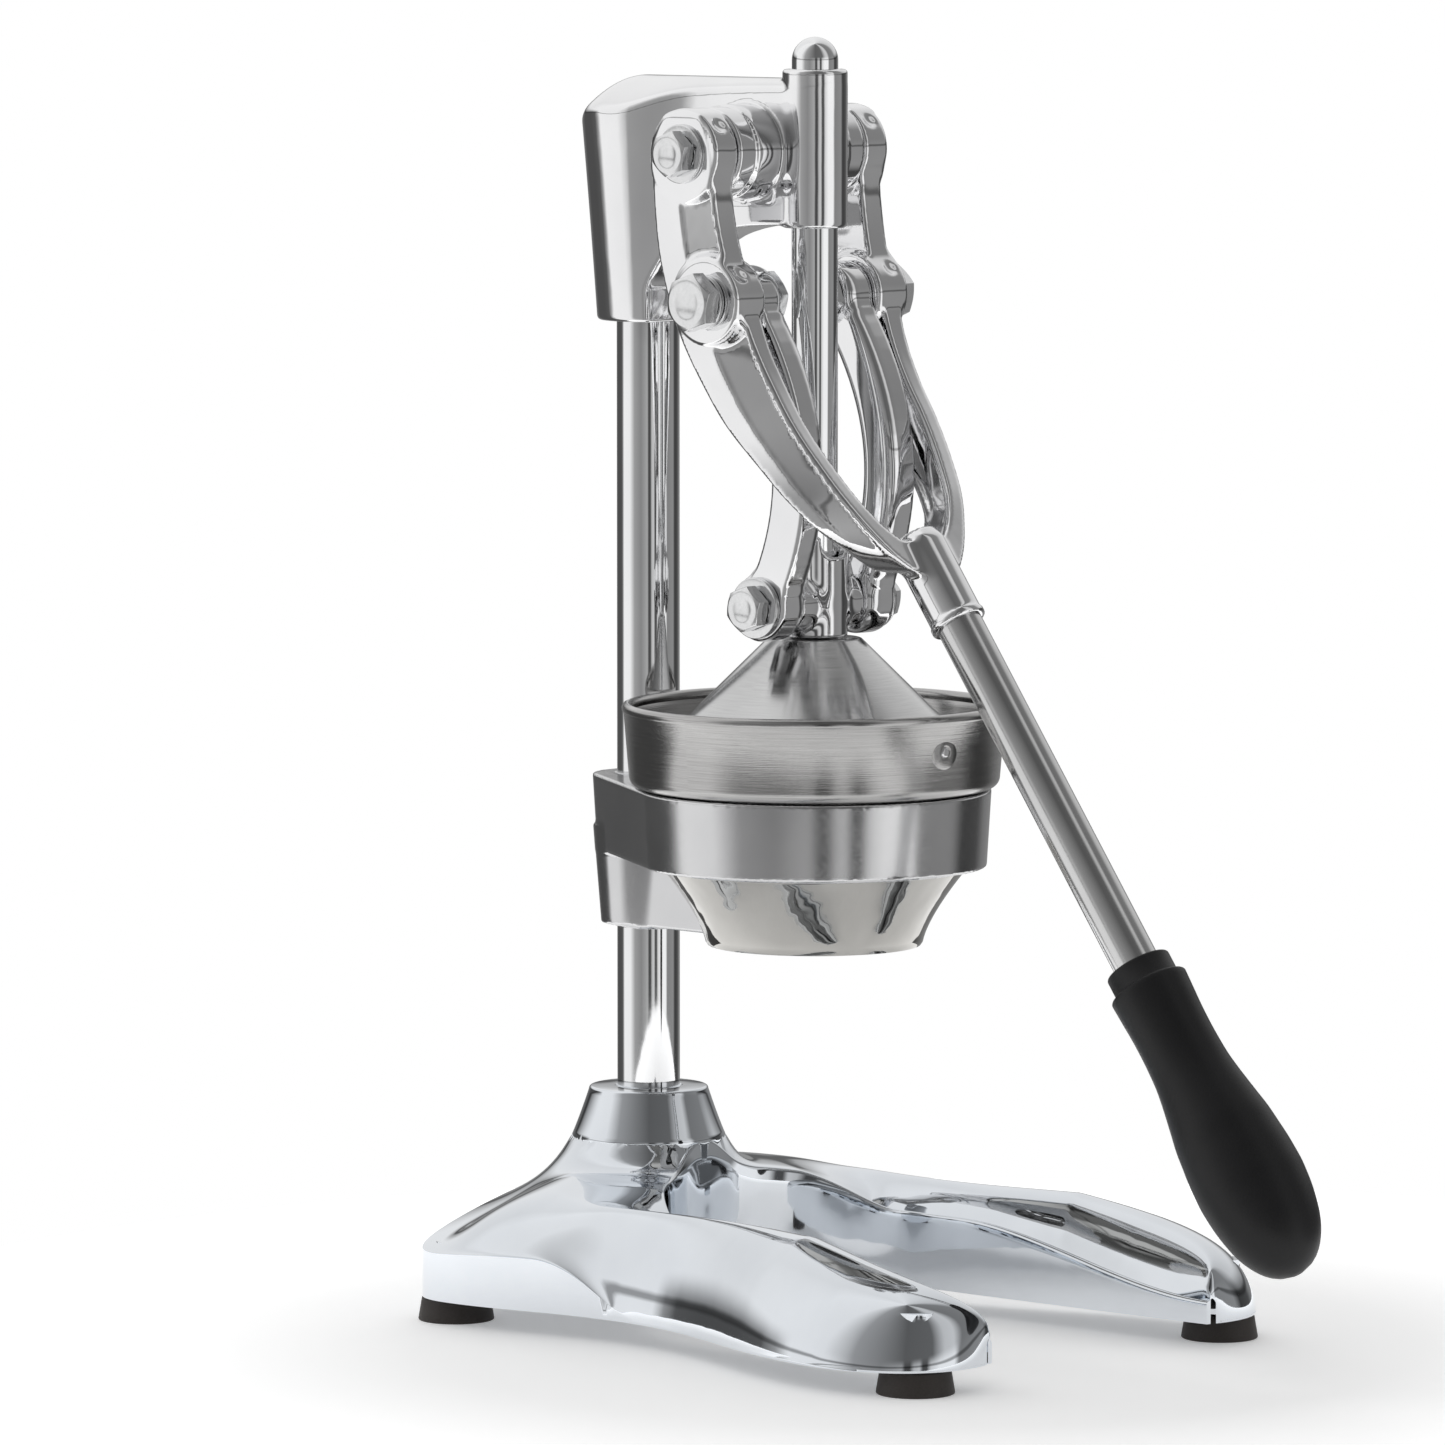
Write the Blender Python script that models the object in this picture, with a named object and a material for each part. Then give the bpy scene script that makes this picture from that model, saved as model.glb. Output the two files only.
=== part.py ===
"""Citrus press juicer: a lever press on a horseshoe base.

A post stands on a cast base and carries a head. The head guides a vertical press rod.
A forked lever turns on the head and pushes the rod's crosshead down through two links,
so the press cone squeezes a half fruit on the strainer in the cup.

Lengths are in millimetres and angles in degrees here. Meshes are scaled to metres when
they are made. +Z is up, -Y is the front (the lever's side), and the assembly is symmetric
about X = 0. Positions are measured from the rod's axis at floor level.
"""

import math

import bmesh
import bpy
from mathutils import Matrix, Vector

MM = 0.001
GAP = 0.3            # clearance between touching pieces
ROD_Y = 44.967       # the rod's axis from the middle of the assembly's depth

# Linkage pivots, as (y, z)
LEVER_PIVOT = (19.5, 378.4)
KNEE_PIVOT = (9.8, 331.8)
CROSS_PIVOT = (0.0, 234.3)

# Base
BASE_EDGE_Z = 8.0
BASE_WALL = 3.6
BASE_INNER_RADIUS = 48.0
LEG_FRONT_Y = -121.0
LEG_INNER_SPREAD = 4.0
COLLAR_TOP_RADIUS = 19.5
COLLAR_TOP_Z = 72.4
COLLAR_FOOT_RADIUS = 25.0
COLLAR_FOOT_Z = 56.5
FOOT_HEIGHT = 7.7
FOOT_RADIUS = 12.4
FOOT_TOP_RADIUS = 11.1
FRONT_FOOT = (73.6, -108.5)
REAR_FOOT = (64.9, 97.5)
FOOT_RECESS = (5.2, 3.0)          # radius, depth
FOOT_SCREW_RADIUS = 2.5
FOOT_POST_RADIUS = 6.5
FOOT_POST_TOP_Z = 25.5
FOOT_HOLE_TOP_Z = 18.0

# Post and head
POST_Y = 72.7
POST_RADIUS = 10.2
POST_BORE = 8.0
POST_BOTTOM_Z = 30.0
POST_TOP_Z = 372.0
HEAD_BOTTOM_Z = 322.6
HEAD_REAR_TOP_Z = 385.6
HEAD_TOP_Z = 400.5
HEAD_REAR_RADIUS = 21.2
HEAD_LOW_RADIUS = 15.7
SLEEVE_RADIUS = 10.4
SLEEVE_TOP_Z = 404.8
SLEEVE_BOTTOM_Z = 354.3
BOSS_RADIUS = 15.3
BOSS_STEP_X = 22.0
BOSS_END_X = 29.6

# Rod, crosshead and press cone
ROD_RADIUS = 7.4
ROD_TOP_Z = 415.0
ROD_BOTTOM_Z = 229.0
CROSSHEAD_RADIUS = 10.8
CROSSHEAD_BOTTOM_Z = 223.6
CROSSHEAD_TOP_Z = 257.0
CROSSHEAD_HALF_WIDTH = 14.5
CONE_TOP_Z = 223.3
CONE_TOP_RADIUS = 15.5
CONE_RIM_RADIUS = 46.0
CONE_RIM_Z = 192.5
SHEET = 1.3

# Links
LINK_INNER_X = 15.5
LINK_OUTER_X = 26.8
LINK_UPPER_RADIUS = 11.0
LINK_LOWER_RADIUS = 10.9
LINK_HALF_WIDTH = 7.2
LINK_BULGE = 17.0

# Yoke and handle
YOKE_OUTER_X = 41.0
YOKE_INNER_X = 30.4
YOKE_UPPER_RADIUS = 14.4
YOKE_LOWER_RADIUS = 13.6
HANDLE_TOP = (-44.1, 255.1)
HANDLE_END = (-137.2, 125.9)
SOCKET_RADIUS = 8.6
SOCKET_LENGTH = 30.0
HANDLE_RADIUS = 7.4
GRIP_LENGTH = 111.0

# Cup
CUP_RIM_RADIUS = 61.8
CUP_ROLL = 1.7
CUP_RIM_Z = 200.8
CUP_RADIUS = 59.5
CUP_FLOOR_Z = 175.4
NECK_RADIUS = 49.6
STRAINER_RADIUS = 54.0
REAMER_TOP_Z = 207.4
BOWL_FLOOR_Z = 124.6
BOWL_MOUTH_RADIUS = 15.0
RING_TOP_Z = 174.9
RING_BOTTOM_Z = 150.0
RING_TOP_RADIUS = 56.8
RING_BOTTOM_RADIUS = 55.3
CLAMP_TOP_RADIUS = 18.4
CLAMP_BOTTOM_RADIUS = 15.4
CLAMP_BOTTOM_Z = 126.0

# Fasteners: across flats, head height, shank radius
SMALL_BOLT = (13.0, 5.3, 4.0)
KNEE_BOLT = (16.5, 6.4, 5.0)
GRUB_RADIUS = 3.0
CROSS_WASHER = (9.8, 1.8)         # outer radius, thickness
KNEE_WASHER = (8.6, 1.8)
LEVER_WASHER = (9.4, 1.4)
CROSS_BOLT_END_X = 10.0
KNEE_NUT_HEIGHT = 4.2

ROUND = 28
SMALL_ROUND = 20
TINY_ROUND = 12


# ---------------------------------------------------------------- mesh helpers

def ring_loft(rings, closed=False, caps=True):
    """Joins rings of equal point counts with quads; closed wraps the last to the first."""
    bm = bmesh.new()
    rows = [[bm.verts.new(p) for p in ring] for ring in rings]
    count = len(rows[0])
    pairs = list(zip(rows, rows[1:]))
    if closed:
        pairs.append((rows[-1], rows[0]))
    for low, high in pairs:
        for i in range(count):
            j = (i + 1) % count
            bm.faces.new((low[i], low[j], high[j], high[i]))
    if caps and not closed:
        bm.faces.new(rows[0][::-1])
        bm.faces.new(rows[-1])
    return bm


def turned(profile, segments=ROUND):
    """Turns (radius, z) points about Z. A profile off the axis closes on itself."""
    bm = bmesh.new()
    rows = []
    for radius, z in profile:
        if radius == 0:
            rows.append([bm.verts.new((0, 0, z))] * segments)
            continue
        angles = [2 * math.pi * i / segments for i in range(segments)]
        rows.append([bm.verts.new((radius * math.cos(a), radius * math.sin(a), z)) for a in angles])
    pairs = list(zip(rows, rows[1:]))
    if profile[0][0] > 0:
        pairs.append((rows[-1], rows[0]))
    for low, high in pairs:
        for i in range(segments):
            j = (i + 1) % segments
            corners = dict.fromkeys((low[i], low[j], high[j], high[i]))
            if len(corners) > 2:
                bm.faces.new(tuple(corners))
    return bm


def prism(outline, low_x, high_x):
    """Extrudes a (y, z) outline along X."""
    return ring_loft([[(x, y, z) for y, z in outline] for x in (low_x, high_x)])


def moved(bm, matrix):
    bmesh.ops.transform(bm, matrix=matrix, verts=bm.verts)
    return bm


def shifted(bm, x=0.0, y=0.0, z=0.0):
    return moved(bm, Matrix.Translation((x, y, z)))


def along_x(bm, pivot, x, side=1):
    """Lays a Z-turned shape along X: its +Z points outward on the given side."""
    turn = Matrix.Rotation(math.radians(90 * side), 4, "Y")
    return moved(bm, Matrix.Translation((x * side, pivot[0], pivot[1])) @ turn)


def bezier(points, steps):
    """Points along a Bezier curve of any order."""
    order = len(points) - 1
    curve = []
    for i in range(steps + 1):
        t = i / steps
        weights = [math.comb(order, k) * t ** k * (1 - t) ** (order - k) for k in range(order + 1)]
        curve.append(tuple(sum(w * p[c] for w, p in zip(weights, points)) for c in range(len(points[0]))))
    return curve


def arc(centre, radius, start, end, steps):
    """Points on an arc in a plane, with angles in degrees."""
    angles = [math.radians(start + (end - start) * i / steps) for i in range(steps + 1)]
    return [(centre[0] + radius * math.cos(a), centre[1] + radius * math.sin(a)) for a in angles]


# ---------------------------------------------------------------- object helpers

def empty(name, y, z, parent=None):
    """A pivot empty at (0, y, z) from its parent's origin."""
    holder = bpy.data.objects.new(name, None)
    holder.location = (0, y * MM, z * MM)
    holder.parent = parent
    bpy.context.scene.collection.objects.link(holder)
    return holder


def make_object(name, bm, material=None, parent=None, pivot=(0.0, 0.0)):
    """Turns a mesh in millimetres from the rod's axis into an object under its pivot's empty."""
    shifted(bm, y=-pivot[0], z=-pivot[1])
    moved(bm, Matrix.Scale(MM, 4))
    bmesh.ops.recalc_face_normals(bm, faces=bm.faces)
    mesh = bpy.data.meshes.new(name)
    bm.to_mesh(mesh)
    bm.free()
    mesh.shade_smooth()
    mesh.set_sharp_from_angle(angle=math.radians(35))
    piece = bpy.data.objects.new(name, mesh)
    piece.parent = parent
    bpy.context.scene.collection.objects.link(piece)
    if material:
        mesh.materials.append(material)
    return piece


def combine(name, base, tools, material, parent, pivot=(0.0, 0.0)):
    """Applies Boolean steps, given as (operation, mesh), to a mesh and returns the object."""
    piece = make_object(name, base, material, parent, pivot)
    for operation, bm in tools:
        tool = make_object("tool", bm, None, parent, pivot)
        step = piece.modifiers.new(operation.title(), "BOOLEAN")
        step.operation = operation
        step.object = tool
        result = bpy.data.meshes.new_from_object(
            piece.evaluated_get(bpy.context.evaluated_depsgraph_get())
        )
        piece.modifiers.clear()
        piece.data = result
        bpy.data.objects.remove(tool)
    piece.data.name = name
    piece.data.shade_smooth()
    piece.data.set_sharp_from_angle(angle=math.radians(35))
    return piece


def material(name, colour, roughness, metallic):
    shade = bpy.data.materials.new(name)
    shade.use_nodes = True
    surface = shade.node_tree.nodes["Principled BSDF"]
    surface.inputs["Base Color"].default_value = (*colour, 1)
    surface.inputs["Roughness"].default_value = roughness
    surface.inputs["Metallic"].default_value = metallic
    return shade


# ---------------------------------------------------------------- fasteners

def hexagon(across, z):
    """Twelve points round a hexagon: its corners and the middles of its flats."""
    points = []
    for i in range(TINY_ROUND):
        angle = 2 * math.pi * i / TINY_ROUND
        radius = across / 2 if i % 2 else across / math.sqrt(3)
        points.append((radius * math.cos(angle), radius * math.sin(angle), z))
    return points


def circle(radius, z, count=TINY_ROUND):
    angles = [2 * math.pi * i / count for i in range(count)]
    return [(radius * math.cos(a), radius * math.sin(a), z) for a in angles]


def hex_bolt(size, length):
    """A bolt whose head stands on z = 0 and whose shank runs to -length."""
    across, height, shank = size
    return ring_loft([
        circle(across * 0.47, height),
        hexagon(across, height - 0.12 * across),
        hexagon(across, 0),
        circle(shank, 0),
        circle(shank, -length),
    ])


def washer(outer, inner, thickness):
    return turned([(inner, 0), (outer, 0), (outer, thickness), (inner, thickness)], SMALL_ROUND)


def pan_screw(head_radius, head_height, shank, length):
    """A screw whose head's flat underside is z = 0 and whose shank runs up to +length."""
    profile = [(0, -head_height), (head_radius * 0.7, -head_height), (head_radius, -head_height * 0.4),
               (head_radius, 0), (shank, 0), (shank, length), (0, length)]
    return turned(profile, TINY_ROUND)


# ---------------------------------------------------------------- base

def outer_outline():
    """The casting's lower outline on the +X side, from the front tip to the rear middle."""
    tip = bezier([(57, -122.4), (68, -125.0), (93, -122), (94.8, -86)], 7)
    side = bezier([(94.8, -86), (92, -40), (70, -20), (70.5, 22)], 6)
    flank = bezier([(70.5, 22), (71, 50), (79.5, 66), (79.3, 90)], 5)
    rear = bezier([(79.3, 90), (78.5, 112), (58, 115), (0, 115)], 7)
    return tip + side[1:] + flank[1:] + rear[1:]


def inner_outline(count):
    """The horseshoe's inner edge on the +X side, from the front tip to the rear middle."""
    leg = abs(LEG_FRONT_Y)
    bend = BASE_INNER_RADIUS * math.pi / 2
    points = []
    for i in range(count):
        along = (leg + bend) * i / (count - 1)
        if along < leg:
            y = LEG_FRONT_Y + along
            points.append((BASE_INNER_RADIUS + LEG_INNER_SPREAD * (y / LEG_FRONT_Y) ** 2, y))
        else:
            angle = (along - leg) / BASE_INNER_RADIUS
            points.append((BASE_INNER_RADIUS * math.cos(angle), BASE_INNER_RADIUS * math.sin(angle)))
    return points


def smooth_step(value, low, high):
    t = min(max((value - low) / (high - low), 0.0), 1.0)
    return t * t * (3 - 2 * t)


def leg_heights(y, share):
    """Crown and inner-edge heights above the lower edge; share is 0 at the tip."""
    nose = math.sqrt(min(1.0, share / 0.3)) if share < 0.3 else 1.0
    crown = (34.5 + 9.0 * smooth_step(y, 10, 70)) * (0.28 + 0.72 * nose)
    inner = (24.5 + 14.0 * smooth_step(y, 5, 45)) - 17.0 * smooth_step(-y, 20, 122)
    return crown, min(inner, crown * 0.96)


def dome(v, crown, inner, power):
    """The section's height above the lower edge: v is 0 at the inner edge, 1 outside."""
    peak = 0.42
    if v >= peak:
        return crown * (1 - ((v - peak) / (1 - peak)) ** power) ** (1 / power)
    return crown - (crown - inner) * ((peak - v) / peak) ** 2


def collar_flare(x, y):
    """The height of the concave flare round the post's collar."""
    reach = math.hypot(x, y - POST_Y)
    if reach < COLLAR_FOOT_RADIUS:
        return COLLAR_FOOT_Z
    return COLLAR_FOOT_Z - 15.0 * (1 - math.exp(-(reach - COLLAR_FOOT_RADIUS) / 9.0)) \
        - 0.32 * (reach - COLLAR_FOOT_RADIUS)


def base_section(inside, outside, share, steps):
    """One closed section of the shell, from the inner lower edge over the dome and back."""
    crown, inner = leg_heights(inside[1], share)
    power = 1.75 - 0.25 * smooth_step(inside[1], 0, 45)
    run = Vector((outside[0] - inside[0], outside[1] - inside[1]))
    wall = min(BASE_WALL, run.length * 0.3)
    inset = wall / run.length

    def plain(v):
        return BASE_EDGE_Z + dome(v, crown, inner, power)

    def top(v):
        x, y = inside[0] + run.x * v, inside[1] + run.y * v
        return max(plain(v), collar_flare(x, y)) if y > 0 else plain(v)

    def place(v, z):
        return (inside[0] + run.x * v, inside[1] + run.y * v, z)

    spread = [math.sin(math.pi / 2 * i / steps) for i in range(steps + 1)]
    over = [place(0, BASE_EDGE_Z)] + [place(v, top(v)) for v in spread[:-1]] + [place(1, BASE_EDGE_Z + 0.6)]
    over.append(place(1, BASE_EDGE_Z))
    under = [place(1 - inset, BASE_EDGE_Z)]
    for v in spread[:-1][::-1]:
        w = inset + (1 - 2 * inset) * v
        under.append(place(w, max(BASE_EDGE_Z + 1.0, plain(w) - wall)))
    under.append(place(inset, BASE_EDGE_Z))
    return over + under


def base_shell(steps=5):
    """The hollow horseshoe casting, lofted from tip to tip."""
    outline = outer_outline()
    inner = inner_outline(len(outline))
    half = [base_section(i, o, k / (len(outline) - 1), steps) for k, (i, o) in enumerate(zip(inner, outline))]
    mirrored = [[(-x, y, z) for x, y, z in ring] for ring in half[-2::-1]]
    return ring_loft(half + mirrored)


def build_base(parent, finish):
    collar = turned([(0, 24), (17, 24), (COLLAR_FOOT_RADIUS - 1, 46), (COLLAR_FOOT_RADIUS, COLLAR_FOOT_Z),
                     (COLLAR_TOP_RADIUS, COLLAR_TOP_Z - 1.2), (COLLAR_TOP_RADIUS - 1.2, COLLAR_TOP_Z),
                     (0, COLLAR_TOP_Z)])
    tools = [("UNION", shifted(collar, y=POST_Y))]
    for x, y in (FRONT_FOOT, REAR_FOOT):
        for side in (-1, 1):
            post = circle_plug(FOOT_POST_RADIUS, BASE_EDGE_Z, FOOT_POST_TOP_Z, TINY_ROUND)
            tools.append(("UNION", shifted(post, x * side, y)))
    for x, y in (FRONT_FOOT, REAR_FOOT):
        for side in (-1, 1):
            hole = circle_plug(FOOT_SCREW_RADIUS + GAP, 0, FOOT_HOLE_TOP_Z, TINY_ROUND)
            tools.append(("DIFFERENCE", shifted(hole, x * side, y)))
    socket = turned([(0, 20), (4.5, 20), (4.5, POST_BOTTOM_Z - GAP), (POST_RADIUS + GAP, POST_BOTTOM_Z - GAP),
                     (POST_RADIUS + GAP, 80), (0, 80)], SMALL_ROUND)
    tools.append(("DIFFERENCE", shifted(socket, y=POST_Y)))
    combine("base_casting", base_shell(), tools, finish["chrome_base"], parent)


def build_feet(parent, finish):
    for end, (x, y) in (("front", FRONT_FOOT), ("rear", REAR_FOOT)):
        for side, label in ((-1, "left"), (1, "right")):
            bore = FOOT_SCREW_RADIUS + GAP
            recess, depth = FOOT_RECESS
            foot = turned([(bore, depth), (recess, depth), (recess, 0), (FOOT_RADIUS, 0),
                           (FOOT_TOP_RADIUS, FOOT_HEIGHT), (bore, FOOT_HEIGHT)], SMALL_ROUND)
            make_object(f"foot_{end}_{label}", shifted(foot, x * side, y), finish["rubber"], parent)
            screw = pan_screw(4.6, 2.0, FOOT_SCREW_RADIUS, 14.0)
            make_object(f"foot_screw_{end}_{label}", shifted(screw, x * side, y, depth - GAP),
                        finish["zinc"], parent)


# ---------------------------------------------------------------- post and head

def build_post(parent, finish):
    post = turned([(0, POST_BOTTOM_Z + 22), (POST_BORE, POST_BOTTOM_Z + 22), (POST_BORE, POST_TOP_Z),
                   (POST_RADIUS, POST_TOP_Z), (POST_RADIUS, POST_BOTTOM_Z), (4.0 + GAP, POST_BOTTOM_Z),
                   (4.0 + GAP, POST_BOTTOM_Z + 17), (0, POST_BOTTOM_Z + 17)], SMALL_ROUND)
    make_object("post_tube", shifted(post, y=POST_Y), finish["chrome"], parent)
    plate = washer(12.0, 4.3, 2.0)
    make_object("post_washer", shifted(plate, y=POST_Y, z=24 - GAP - 2.0), finish["zinc"], parent)
    bolt = moved(hex_bolt(SMALL_BOLT, 22.0), Matrix.Rotation(math.pi, 4, "X"))
    make_object("post_bolt", shifted(bolt, y=POST_Y, z=24 - 2 * GAP - 2.0), finish["zinc"], parent)


def head_plan(radius):
    """The head seen from above: round behind the post, drawn in to the sleeve."""
    half = arc((POST_Y, 0), radius, 90, 0, 5)[::-1]
    blend = SLEEVE_RADIUS - 0.35
    waist = bezier([(POST_Y, radius), (52, radius * 0.96), (30, blend + 0.6), (0, blend)], 6)
    nose = arc((0, 0), blend - 1.0, 125, 180, 2)
    side = half + waist[1:] + nose
    return side + [(y, -x) for y, x in side[-2:0:-1]]


def head_side():
    """The head seen from the side: flat rear, rising top, arched underside."""
    top = bezier([(100, HEAD_REAR_TOP_Z - 1.5), (80, HEAD_REAR_TOP_Z + 9), (55, HEAD_TOP_Z - 1),
                  (-15, HEAD_TOP_Z)], 7)
    under = bezier([(-15, SLEEVE_BOTTOM_Z + 1.5), (22, SLEEVE_BOTTOM_Z), (52, 348), (55.5, 336)], 6)
    return top + under + [(56.5, HEAD_BOTTOM_Z), (100, HEAD_BOTTOM_Z)]


def build_head(parent, finish):
    levels = ((HEAD_BOTTOM_Z - 1, HEAD_LOW_RADIUS), (HEAD_TOP_Z + 4, HEAD_REAR_RADIUS + 1.0))
    plan = [[(x, y, z) for y, x in head_plan(radius)] for z, radius in levels]
    sleeve = turned([(0, SLEEVE_BOTTOM_Z), (SLEEVE_RADIUS, SLEEVE_BOTTOM_Z),
                     (SLEEVE_RADIUS, SLEEVE_TOP_Z - 1.5), (SLEEVE_RADIUS - 1.5, SLEEVE_TOP_Z),
                     (0, SLEEVE_TOP_Z)])
    bosses = turned([(0, -BOSS_END_X), (BOSS_RADIUS - 0.7, -BOSS_END_X), (BOSS_RADIUS - 0.7, -BOSS_STEP_X),
                     (BOSS_RADIUS, -BOSS_STEP_X), (BOSS_RADIUS, BOSS_STEP_X), (BOSS_RADIUS - 0.7, BOSS_STEP_X),
                     (BOSS_RADIUS - 0.7, BOSS_END_X), (0, BOSS_END_X)])
    rod_bore = circle_plug(ROD_RADIUS + GAP, SLEEVE_BOTTOM_Z - 30, SLEEVE_TOP_Z + 10, SMALL_ROUND)
    post_bore = circle_plug(POST_RADIUS + GAP, HEAD_BOTTOM_Z - 20, POST_TOP_Z + GAP, SMALL_ROUND)
    grub = circle_plug(GRUB_RADIUS + GAP, 0, 30, TINY_ROUND)
    grub = moved(grub, Matrix.Translation((0, POST_Y + 8, 350)) @ Matrix.Rotation(-math.pi / 2, 4, "X"))
    tools = [
        ("INTERSECT", prism(head_side(), -40, 40)),
        ("UNION", along_x(bosses, LEVER_PIVOT, 0)),
        ("UNION", sleeve),
        ("DIFFERENCE", rod_bore),
        ("DIFFERENCE", shifted(post_bore, y=POST_Y)),
        ("DIFFERENCE", grub),
    ]
    for side in (-1, 1):
        bore = circle_plug(4.0 + GAP, -18, 10, TINY_ROUND)
        tools.append(("DIFFERENCE", along_x(bore, LEVER_PIVOT, BOSS_END_X, side)))
    combine("head_casting", ring_loft(plan), tools, finish["polished"], parent)
    screw = turned([(0, 0), (GRUB_RADIUS, 0), (GRUB_RADIUS, 7.0), (0, 7.0)], TINY_ROUND)
    turn = Matrix.Translation((0, POST_Y + POST_RADIUS + GAP, 350)) @ Matrix.Rotation(-math.pi / 2, 4, "X")
    make_object("head_set_screw", moved(screw, turn), finish["zinc"], parent)


def circle_plug(radius, low, high, segments):
    """A plain cylinder, used to cut bores."""
    return turned([(0, low), (radius, low), (radius, high), (0, high)], segments)


# ---------------------------------------------------------------- cup, funnel and holder

def bowl_curve(steps):
    """The bowl's flared outer side below the ring, as (radius, z)."""
    return bezier([(NECK_RADIUS, RING_BOTTOM_Z), (45.0, 144.5), (36.4, 133.0), (34.9, 125.6)], steps)


def build_funnel(parent, finish):
    roll = arc((CUP_RIM_RADIUS - CUP_ROLL, CUP_RIM_Z), CUP_ROLL, -60, 240, 5)
    shoulder = arc((CUP_RADIUS - 3.4, CUP_FLOOR_Z + 3.4), 3.4, 270, 360, 3)
    outer = bowl_curve(4)[::-1] + [(NECK_RADIUS, CUP_FLOOR_Z)] + shoulder
    inner_wall = [(CUP_RADIUS - SHEET, CUP_RIM_Z - 3), (CUP_RADIUS - SHEET, CUP_FLOOR_Z + 3.4),
                  (CUP_RADIUS - 4.5, CUP_FLOOR_Z + SHEET), (NECK_RADIUS - SHEET, CUP_FLOOR_Z + SHEET)]
    inner_bowl = [(r - SHEET, z + 0.6) for r, z in bowl_curve(4)]
    floor = [(32.5, BOWL_FLOOR_Z + SHEET), (BOWL_MOUTH_RADIUS, BOWL_FLOOR_Z + SHEET),
             (BOWL_MOUTH_RADIUS, BOWL_FLOOR_Z), (34.0, BOWL_FLOOR_Z)]
    shell = turned(outer + roll + inner_wall + inner_bowl + floor)
    make_object("juice_funnel", shell, finish["brushed"], parent)


def build_strainer(parent, finish):
    """The reamer cone on a flat flange that lies on the cup's floor."""
    low = CUP_FLOOR_Z + SHEET + GAP
    skin = [(STRAINER_RADIUS, low), (STRAINER_RADIUS, low + SHEET), (35.0, low + SHEET), (30.0, low + 7),
            (6.5, 205.0), (3.0, 207.0), (0, REAMER_TOP_Z)]
    under = [(0, 205.4), (4.5, 203.6), (28.0, low + 5.8), (33.5, low)]
    cone = turned(under + skin)
    slots = []
    for i in range(8):
        slot = shifted(circle_plug(2.4, low - 3, low + 5, 8), 44.0)
        slots.append(("DIFFERENCE", moved(slot, Matrix.Rotation(math.radians(45 * i + 22.5), 4, "Z"))))
    combine("strainer_cone", cone, slots, finish["brushed"], parent)


def tangent_hull(big, small, distance, steps):
    """The outline round two circles, centred at y = 0 and y = distance, as (x, y)."""
    lean = math.degrees(math.acos((big - small) / distance))
    around = arc((0, 0), big, 90 + lean, 450 - lean, steps)
    return around + arc((0, distance), small, 90 - lean, 90 + lean, 6)


def build_holder(parent, finish):
    """The cup's ring, its tapering neck and the clamp on the post, in one casting."""
    levels = ((RING_BOTTOM_Z, RING_BOTTOM_RADIUS, CLAMP_TOP_RADIUS - 1.2),
              (RING_TOP_Z, RING_TOP_RADIUS, CLAMP_TOP_RADIUS))
    body = [[(x, y, z) for x, y in tangent_hull(big, small, POST_Y, 22)] for z, big, small in levels]
    clamp = turned([(0, CLAMP_BOTTOM_Z), (CLAMP_BOTTOM_RADIUS, CLAMP_BOTTOM_Z), (CLAMP_TOP_RADIUS - 1.5, 152),
                    (0, 152)], SMALL_ROUND)
    front = [(r + 1.0, z) for r, z in bowl_curve(4)[::-1]]
    gusset = prism([(POST_Y, CLAMP_BOTTOM_Z)] + front + [(front[-1][0], 155), (POST_Y, 155)], -12.5, 12.5)
    spout_room = turned([(0, 110)] + [(r + 0.8, z - 0.8) for r, z in bowl_curve(4)[::-1]]
                        + [(NECK_RADIUS + 0.8, RING_TOP_Z), (0, RING_TOP_Z)])
    grub = circle_plug(GRUB_RADIUS + GAP, 0, 30, TINY_ROUND)
    grub = moved(grub, Matrix.Translation((0, POST_Y + 8, 162)) @ Matrix.Rotation(-math.pi / 2, 4, "X"))
    tools = [
        ("UNION", shifted(clamp, y=POST_Y)),
        ("UNION", gusset),
        ("DIFFERENCE", spout_room),
        ("DIFFERENCE", shifted(circle_plug(POST_RADIUS + GAP, 100, 200, SMALL_ROUND), y=POST_Y)),
        ("DIFFERENCE", grub),
    ]
    combine("cup_holder", ring_loft(body), tools, finish["satin"], parent)
    screw = turned([(0, 0), (GRUB_RADIUS, 0), (GRUB_RADIUS, 7.0), (0, 7.0)], TINY_ROUND)
    turn = Matrix.Translation((0, POST_Y + POST_RADIUS + GAP, 162)) @ Matrix.Rotation(-math.pi / 2, 4, "X")
    make_object("holder_set_screw", moved(screw, turn), finish["zinc"], parent)


# ---------------------------------------------------------------- press: rod, crosshead, cone

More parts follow.
